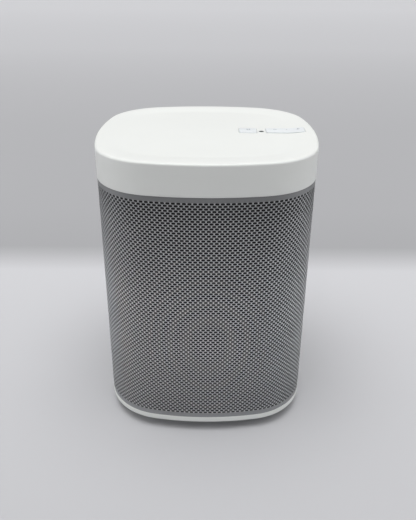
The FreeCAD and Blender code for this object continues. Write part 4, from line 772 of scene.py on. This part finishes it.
def prism(name, outlines, bottom, top):
    """Upright prisms on plan outlines that run anticlockwise."""
    points, faces = [], []
    for outline in outlines:
        start, count = len(points), len(outline)
        points += [(x, y, bottom) for x, y in outline] + [(x, y, top) for x, y in outline]
        faces += [(start + i, start + (i + 1) % count, start + count + (i + 1) % count, start + count + i)
                  for i in range(count)]
        faces += [tuple(start + i for i in reversed(range(count))), tuple(start + count + i for i in range(count))]
    mesh = bpy.data.meshes.new(name)
    mesh.from_pydata(points, [], faces)
    return mesh


def make_keys():
    top = CAP_HIGH.z
    for node, body in (("play_pause_key", "play_key"), ("volume_rocker", "volume_key")):
        low, high = key_plan(node)
        low, high = (low[0] - KEY_SIDE_FILL, low[1] + KEY_FRONT_GAP), (high[0] + KEY_SIDE_FILL, high[1])
        column = rounded_column("column", low, high, node_box(node)[0].z + 2 * MM, top + 5 * MM, KEY_CORNER)
        mesh = cut_from_cap(f"{node}_top", KEY_PROUD, column)
        soften(mesh, top - 2 * MM, KEY_SOFTNESS)
        new_object(f"{node}_top", mesh, MATERIALS["white_keys"], body, (node,))
    print_marks()


def bar(x, y, width, depth):
    return [(x - width / 2, y - depth / 2), (x + width / 2, y - depth / 2),
            (x + width / 2, y + depth / 2), (x - width / 2, y + depth / 2)]


def print_marks():
    """Generic marks on the keys: play and pause, quieter, a middle dot and louder."""
    play_x = (node_box("play_pause_key")[0].x + node_box("play_pause_key")[1].x) / 2
    rocker_low, rocker_high = key_plan("volume_rocker")
    rocker_x = (rocker_low[0] + rocker_high[0]) / 2 + MARK_RIGHT
    line_y = (rocker_low[1] + rocker_high[1]) / 2 + MARK_BACK
    line, size = MARK_LINE, MARK_SIZE
    triangle = [(play_x - 0.6 * MM, line_y - 0.8 * MM), (play_x + 0.45 * MM, line_y), (play_x - 0.6 * MM, line_y + 0.8 * MM)]
    pause = [bar(play_x + 0.75 * MM, line_y, 0.3 * MM, 1.6 * MM), bar(play_x + 1.25 * MM, line_y, 0.3 * MM, 1.6 * MM)]
    quieter = bar(rocker_x - MARK_SPREAD, line_y, size, line)
    dot = [(rocker_x + 0.35 * MM * math.cos(math.radians(a)), line_y + 0.35 * MM * math.sin(math.radians(a)))
           for a in range(0, 360, 30)]
    x = rocker_x + MARK_SPREAD
    half, thin = size / 2, line / 2
    louder = [(x + u, line_y + v) for u, v in (
        (thin, -half), (thin, -thin), (half, -thin), (half, thin), (thin, thin), (thin, half),
        (-thin, half), (-thin, thin), (-half, thin), (-half, -thin), (-thin, -thin), (-thin, -half))]
    for name, outlines, body, node in (
            ("play_pause_print", [triangle, *pause], "play_key", "play_pause_key"),
            ("volume_print", [quieter, dot, louder], "volume_key", "volume_rocker")):
        column = prism("column", outlines, CAP_HIGH.z - 1.5 * MM, CAP_HIGH.z + 5 * MM)
        mesh = cut_from_cap(name, KEY_PROUD + PRINT_PROUD, column)
        new_object(name, mesh, MATERIALS["key_print"], body)


MARK_BACK = 1.9 * MM
MARK_RIGHT = 0.9 * MM
MARK_LINE = 0.42 * MM
MARK_SIZE = 1.9 * MM
MARK_SPREAD = 6.4 * MM
PRINT_PROUD = 0.02 * MM

# ------------------------------------------------------------------ contacts in the Ethernet socket

CONTACTS = 8
CONTACT_PITCH = 1.02 * MM
CONTACT_WIDTH = 0.42 * MM
CONTACT_THICKNESS = 0.3 * MM


def make_lens():
    """The status lamp's lens: a shallow dome on a round stem, just below the cap's surface."""
    low, high = node_box("status_light_pipe")
    x, y = (low.x + high.x) / 2, (low.y + high.y) / 2
    top = high.z - LENS_RECESS
    profile = [(0.9 * MM, low.z), (0.9 * MM, top - 1.2 * MM), (LENS_RADIUS, top - 1.2 * MM), (LENS_RADIUS, top - 0.12 * MM)]
    profile += [(LENS_RADIUS * math.cos(a), top - 0.12 * MM + 0.12 * MM * math.sin(a))
                for a in (math.radians(step * 15) for step in range(1, 6))]
    count = 32
    points = [(x + r * math.cos(2 * math.pi * i / count), y + r * math.sin(2 * math.pi * i / count), z)
              for r, z in profile for i in range(count)]
    faces = [(ring * count + i, ring * count + (i + 1) % count, (ring + 1) * count + (i + 1) % count, (ring + 1) * count + i)
             for ring in range(len(profile) - 1) for i in range(count)]
    faces += [tuple(reversed(range(count))), tuple(range((len(profile) - 1) * count, len(profile) * count))]
    mesh = bpy.data.meshes.new("status_lens")
    mesh.from_pydata(points, [], faces)
    smooth(mesh, 40.0)
    new_object("status_lens", mesh, MATERIALS["clear_pipe"], replaced=("status_light_pipe",))


def make_contacts():
    """Eight gilt spring wires that rise from the socket's floor towards its back wall."""
    low, high = node_box("ethernet_jack")
    floor, mouth = low.z + 1.0 * MM, high.y
    path = [(mouth - 1.5 * MM, floor + 0.1 * MM), (mouth - 3.0 * MM, floor + 0.5 * MM), (mouth - 10.0 * MM, floor + 3.6 * MM),
            (mouth - 11.0 * MM, floor + 3.7 * MM)]
    ring = path + [(y, z - CONTACT_THICKNESS) for y, z in reversed(path)]
    count = len(ring)
    points, faces = [], []
    for number in range(CONTACTS):
        x = (number - (CONTACTS - 1) / 2) * CONTACT_PITCH
        start = len(points)
        points += [(x - CONTACT_WIDTH / 2, y, z) for y, z in ring] + [(x + CONTACT_WIDTH / 2, y, z) for y, z in ring]
        faces += [(start + i, start + count + i, start + count + (i + 1) % count, start + (i + 1) % count)
                  for i in range(count)]
        faces += [tuple(start + i for i in range(count)), tuple(start + count + i for i in reversed(range(count)))]
    mesh = bpy.data.meshes.new("ethernet_contacts")
    mesh.from_pydata(points, [], faces)
    bm = bmesh.new()
    bm.from_mesh(mesh)
    bmesh.ops.recalc_face_normals(bm, faces=bm.faces)
    bm.to_mesh(mesh)
    bm.free()
    new_object("ethernet_contacts", mesh, MATERIALS["brass_contacts"])


# ------------------------------------------------------------------ the woofer's bending parts

SECTORS = 12
SECTOR_STEPS = 8
SURROUND_IN = 29.5 * MM
ROLL_IN = 31.0 * MM
ROLL_OUT = 36.0 * MM
ROLL_SKIN = 0.5 * MM
SPIDER_IN = 9.4 * MM
SPIDER_LIP = 1.2 * MM
SPIDER_SKIN = 0.4 * MM
SPIDER_FOLDS = 5


def bending_ring(node, profile, material):
    """A ring turned from a (radius, y) profile, in sectors that each reach from the frame to the moving cone."""
    low, high = node_box(node)
    middle = (low.z + high.z) / 2
    half = math.pi / SECTORS
    count = len(profile)
    for sector in range(SECTORS):
        towards = 2 * half * sector
        points, faces = [], []
        for step in range(SECTOR_STEPS + 1):
            angle = towards + half * (2 * step / SECTOR_STEPS - 1)
            points += [(radius * math.cos(angle), y, middle + radius * math.sin(angle)) for radius, y in profile]
        for step in range(SECTOR_STEPS):
            first, after = step * count, (step + 1) * count
            faces += [(first + i, first + (i + 1) % count, after + (i + 1) % count, after + i) for i in range(count)]
        faces += [tuple(reversed(range(count))), tuple(range(SECTOR_STEPS * count, (SECTOR_STEPS + 1) * count))]
        name = f"{node}_{sector + 1}"
        mesh = bpy.data.meshes.new(name)
        mesh.from_pydata(points, [], faces)
        smooth(mesh, 40.0)
        mesh.materials.append(material)
        piece = plain_object(name, mesh)
        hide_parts(node)
        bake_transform(piece)


def make_surround():
    """A half roll of rubber between two flat lips."""
    low, high = node_box("woofer_surround")
    outside = (high.x - low.x) / 2
    front, back = high.y - ROLL_SKIN, high.y
    centre, radius = (ROLL_IN + ROLL_OUT) / 2, (ROLL_OUT - ROLL_IN) / 2
    steps = 12
    angles = [math.pi * step / steps for step in range(steps + 1)]
    rise = (front - low.y) / radius
    outer = [(centre - radius * math.cos(a), front - radius * rise * math.sin(a)) for a in angles]
    thin = radius - ROLL_SKIN
    inner = [(centre + thin * math.cos(a), back - radius * rise * math.sin(a)) for a in angles]
    profile = [(SURROUND_IN, front), *outer, (outside, front), (outside, back), *inner, (SURROUND_IN, back)]
    bending_ring("woofer_surround", profile,
                 MATERIALS["black_rubber"])


def make_spider():
    """Corrugated cloth from the basket's ledge to the voice coil."""
    low, high = node_box("woofer_spider")
    outside = (high.x - low.x) / 2
    deep, shallow = low.y, high.y - SPIDER_SKIN
    reach = outside - SPIDER_LIP - SPIDER_IN
    steps = SPIDER_FOLDS * 8
    front = []
    for step in range(steps + 1):
        share = step / steps
        wave = (1 - math.cos(2 * math.pi * SPIDER_FOLDS * share)) / 2
        front.append((SPIDER_IN + reach * share, shallow + (deep - shallow) * wave))
    front.append((outside, shallow))
    profile = front + [(radius, y + SPIDER_SKIN) for radius, y in reversed(front)]
    bending_ring("woofer_spider", profile,
                 MATERIALS["spider_cloth"])


make_cap()
make_keys()
make_lens()
make_surround()
make_spider()
make_contacts()

# ------------------------------------------------------------------ finishes of the CAD nodes

for part in frame["record"]["subparts"]:
    node = frame["nodes"][part["node"]]
    node.data.materials.clear()
    node.data.materials.append(MATERIALS[part["material_slot"]])

# ------------------------------------------------------------------ stage, light and camera


def make_floor():
    """A wide sheet of paper whose tone changes from front to back as painted light and shade: brightest around the
    speaker, darker towards the front, a sudden darker stretch just behind it standing in for a shaded backdrop,
    lighter again far behind.
    """
    size = 6.0
    mesh = bpy.data.meshes.new("floor")
    mesh.from_pydata([(-size, -size, 0), (size, -size, 0), (size, size, 0), (-size, size, 0)], [], [(0, 1, 2, 3)])
    floor = plain_object("floor", mesh)
    material, nodes, links, shader = base_material("floor_paper_painted_light", (0.62, 0.62, 0.63), 0.7)
    place = nodes.new("ShaderNodeTexCoord")
    split = nodes.new("ShaderNodeSeparateXYZ")
    links.new(place.outputs["Object"], split.inputs["Vector"])
    ramp = nodes.new("ShaderNodeValToRGB")
    spread = nodes.new("ShaderNodeMapRange")
    spread.inputs["From Min"].default_value = PAPER_FRONT
    spread.inputs["From Max"].default_value = PAPER_BACK
    links.new(split.outputs["Y"], spread.inputs["Value"])
    links.new(spread.outputs["Result"], ramp.inputs["Fac"])
    elements = ramp.color_ramp.elements
    while len(elements) < len(PAPER_PAINTED_LIGHT):
        elements.new(0.5)
    for element, (depth, tone) in zip(elements, PAPER_PAINTED_LIGHT):
        element.position = (depth - PAPER_FRONT) / (PAPER_BACK - PAPER_FRONT)
        element.color = (tone, tone * 1.003, tone * 1.04, 1.0)
    links.new(ramp.outputs["Color"], shader.inputs["Base Color"])
    mesh.materials.append(material)


PAPER_FRONT = -1.0
PAPER_BACK = 3.0
# Floor tones along the depth, in metres: painted light and shade, brightest around the speaker, darker towards the
# front, dropping just behind it and lighter again far away.
PAPER_PAINTED_LIGHT = ((-0.6, 0.36), (-0.15, 0.455), (0.0, 0.52), (0.14, 0.548), (0.185, 0.342), (0.28, 0.365), (0.61, 0.39), (0.95, 0.434),
               (1.5, 0.51), (2.9, 0.58))


def area_light(name, place, target, size, power):
    data = bpy.data.lights.new(name, "AREA")
    data.shape = "RECTANGLE"
    data.size, data.size_y = size
    data.energy = power
    lamp = bpy.data.objects.new(name, data)
    bpy.context.scene.collection.objects.link(lamp)
    lamp.location = place
    lamp.rotation_euler = (Vector(target) - Vector(place)).to_track_quat("-Z", "Y").to_euler()
    return lamp


SKY_LOW = 0.235
SKY_HIGH = 5.1
SKY_START = 0.80
SKY_AIM = (-0.035, -0.09, 0.995)
SIDE_POWER = 1.3


def make_light():
    """A pale dome that glows overhead, a little towards the front, and two side softboxes."""
    world = bpy.data.worlds.new("studio")
    bpy.context.scene.world = world
    world.use_nodes = True
    nodes, links = world.node_tree.nodes, world.node_tree.links
    sky = nodes["Background"]
    sky.inputs["Color"].default_value = (1.0, 1.0, 1.0, 1.0)
    way = nodes.new("ShaderNodeTexCoord")
    toward = nodes.new("ShaderNodeVectorMath")
    toward.operation = "DOT_PRODUCT"
    toward.inputs[1].default_value = SKY_AIM
    links.new(way.outputs["Generated"], toward.inputs[0])
    glow = nodes.new("ShaderNodeMapRange")
    glow.interpolation_type = "SMOOTHSTEP"
    numbers = (("From Min", SKY_START), ("From Max", 1.0), ("To Min", SKY_LOW), ("To Max", SKY_HIGH))
    for name, number in numbers:
        glow.inputs[name].default_value = number
    links.new(toward.outputs["Value"], glow.inputs["Value"])
    links.new(glow.outputs["Result"], sky.inputs["Strength"])
    middle = (0, 0, 80 * MM)
    area_light("left_softbox", (-0.9, 0.0, 0.35), middle, (0.7, 0.5), SIDE_POWER)
    area_light("right_softbox", (0.9, 0.0, 0.35), middle, (0.7, 0.5), SIDE_POWER)


def make_camera():
    data = bpy.data.cameras.new("camera")
    data.sensor_width = 36.0
    data.lens = 41.9
    data.clip_start = 0.01
    camera = bpy.data.objects.new("camera", data)
    camera.location = (1.18 * MM, -329.8 * MM, 249.0 * MM)
    pitch, roll, yaw = 0.4702, 0.0056, 0.0005
    camera.rotation_mode = "XYZ"
    camera.rotation_euler = (math.pi / 2 - pitch, 0.0, yaw)
    camera.rotation_euler = (camera.rotation_euler.to_matrix() @ Euler((0, 0, roll)).to_matrix()).to_euler()
    bpy.context.scene.collection.objects.link(camera)
    bpy.context.scene.camera = camera


make_floor()
make_light()
make_camera()
bpy.context.scene.view_settings.view_transform = "Standard"

bpy.context.view_layer.update()
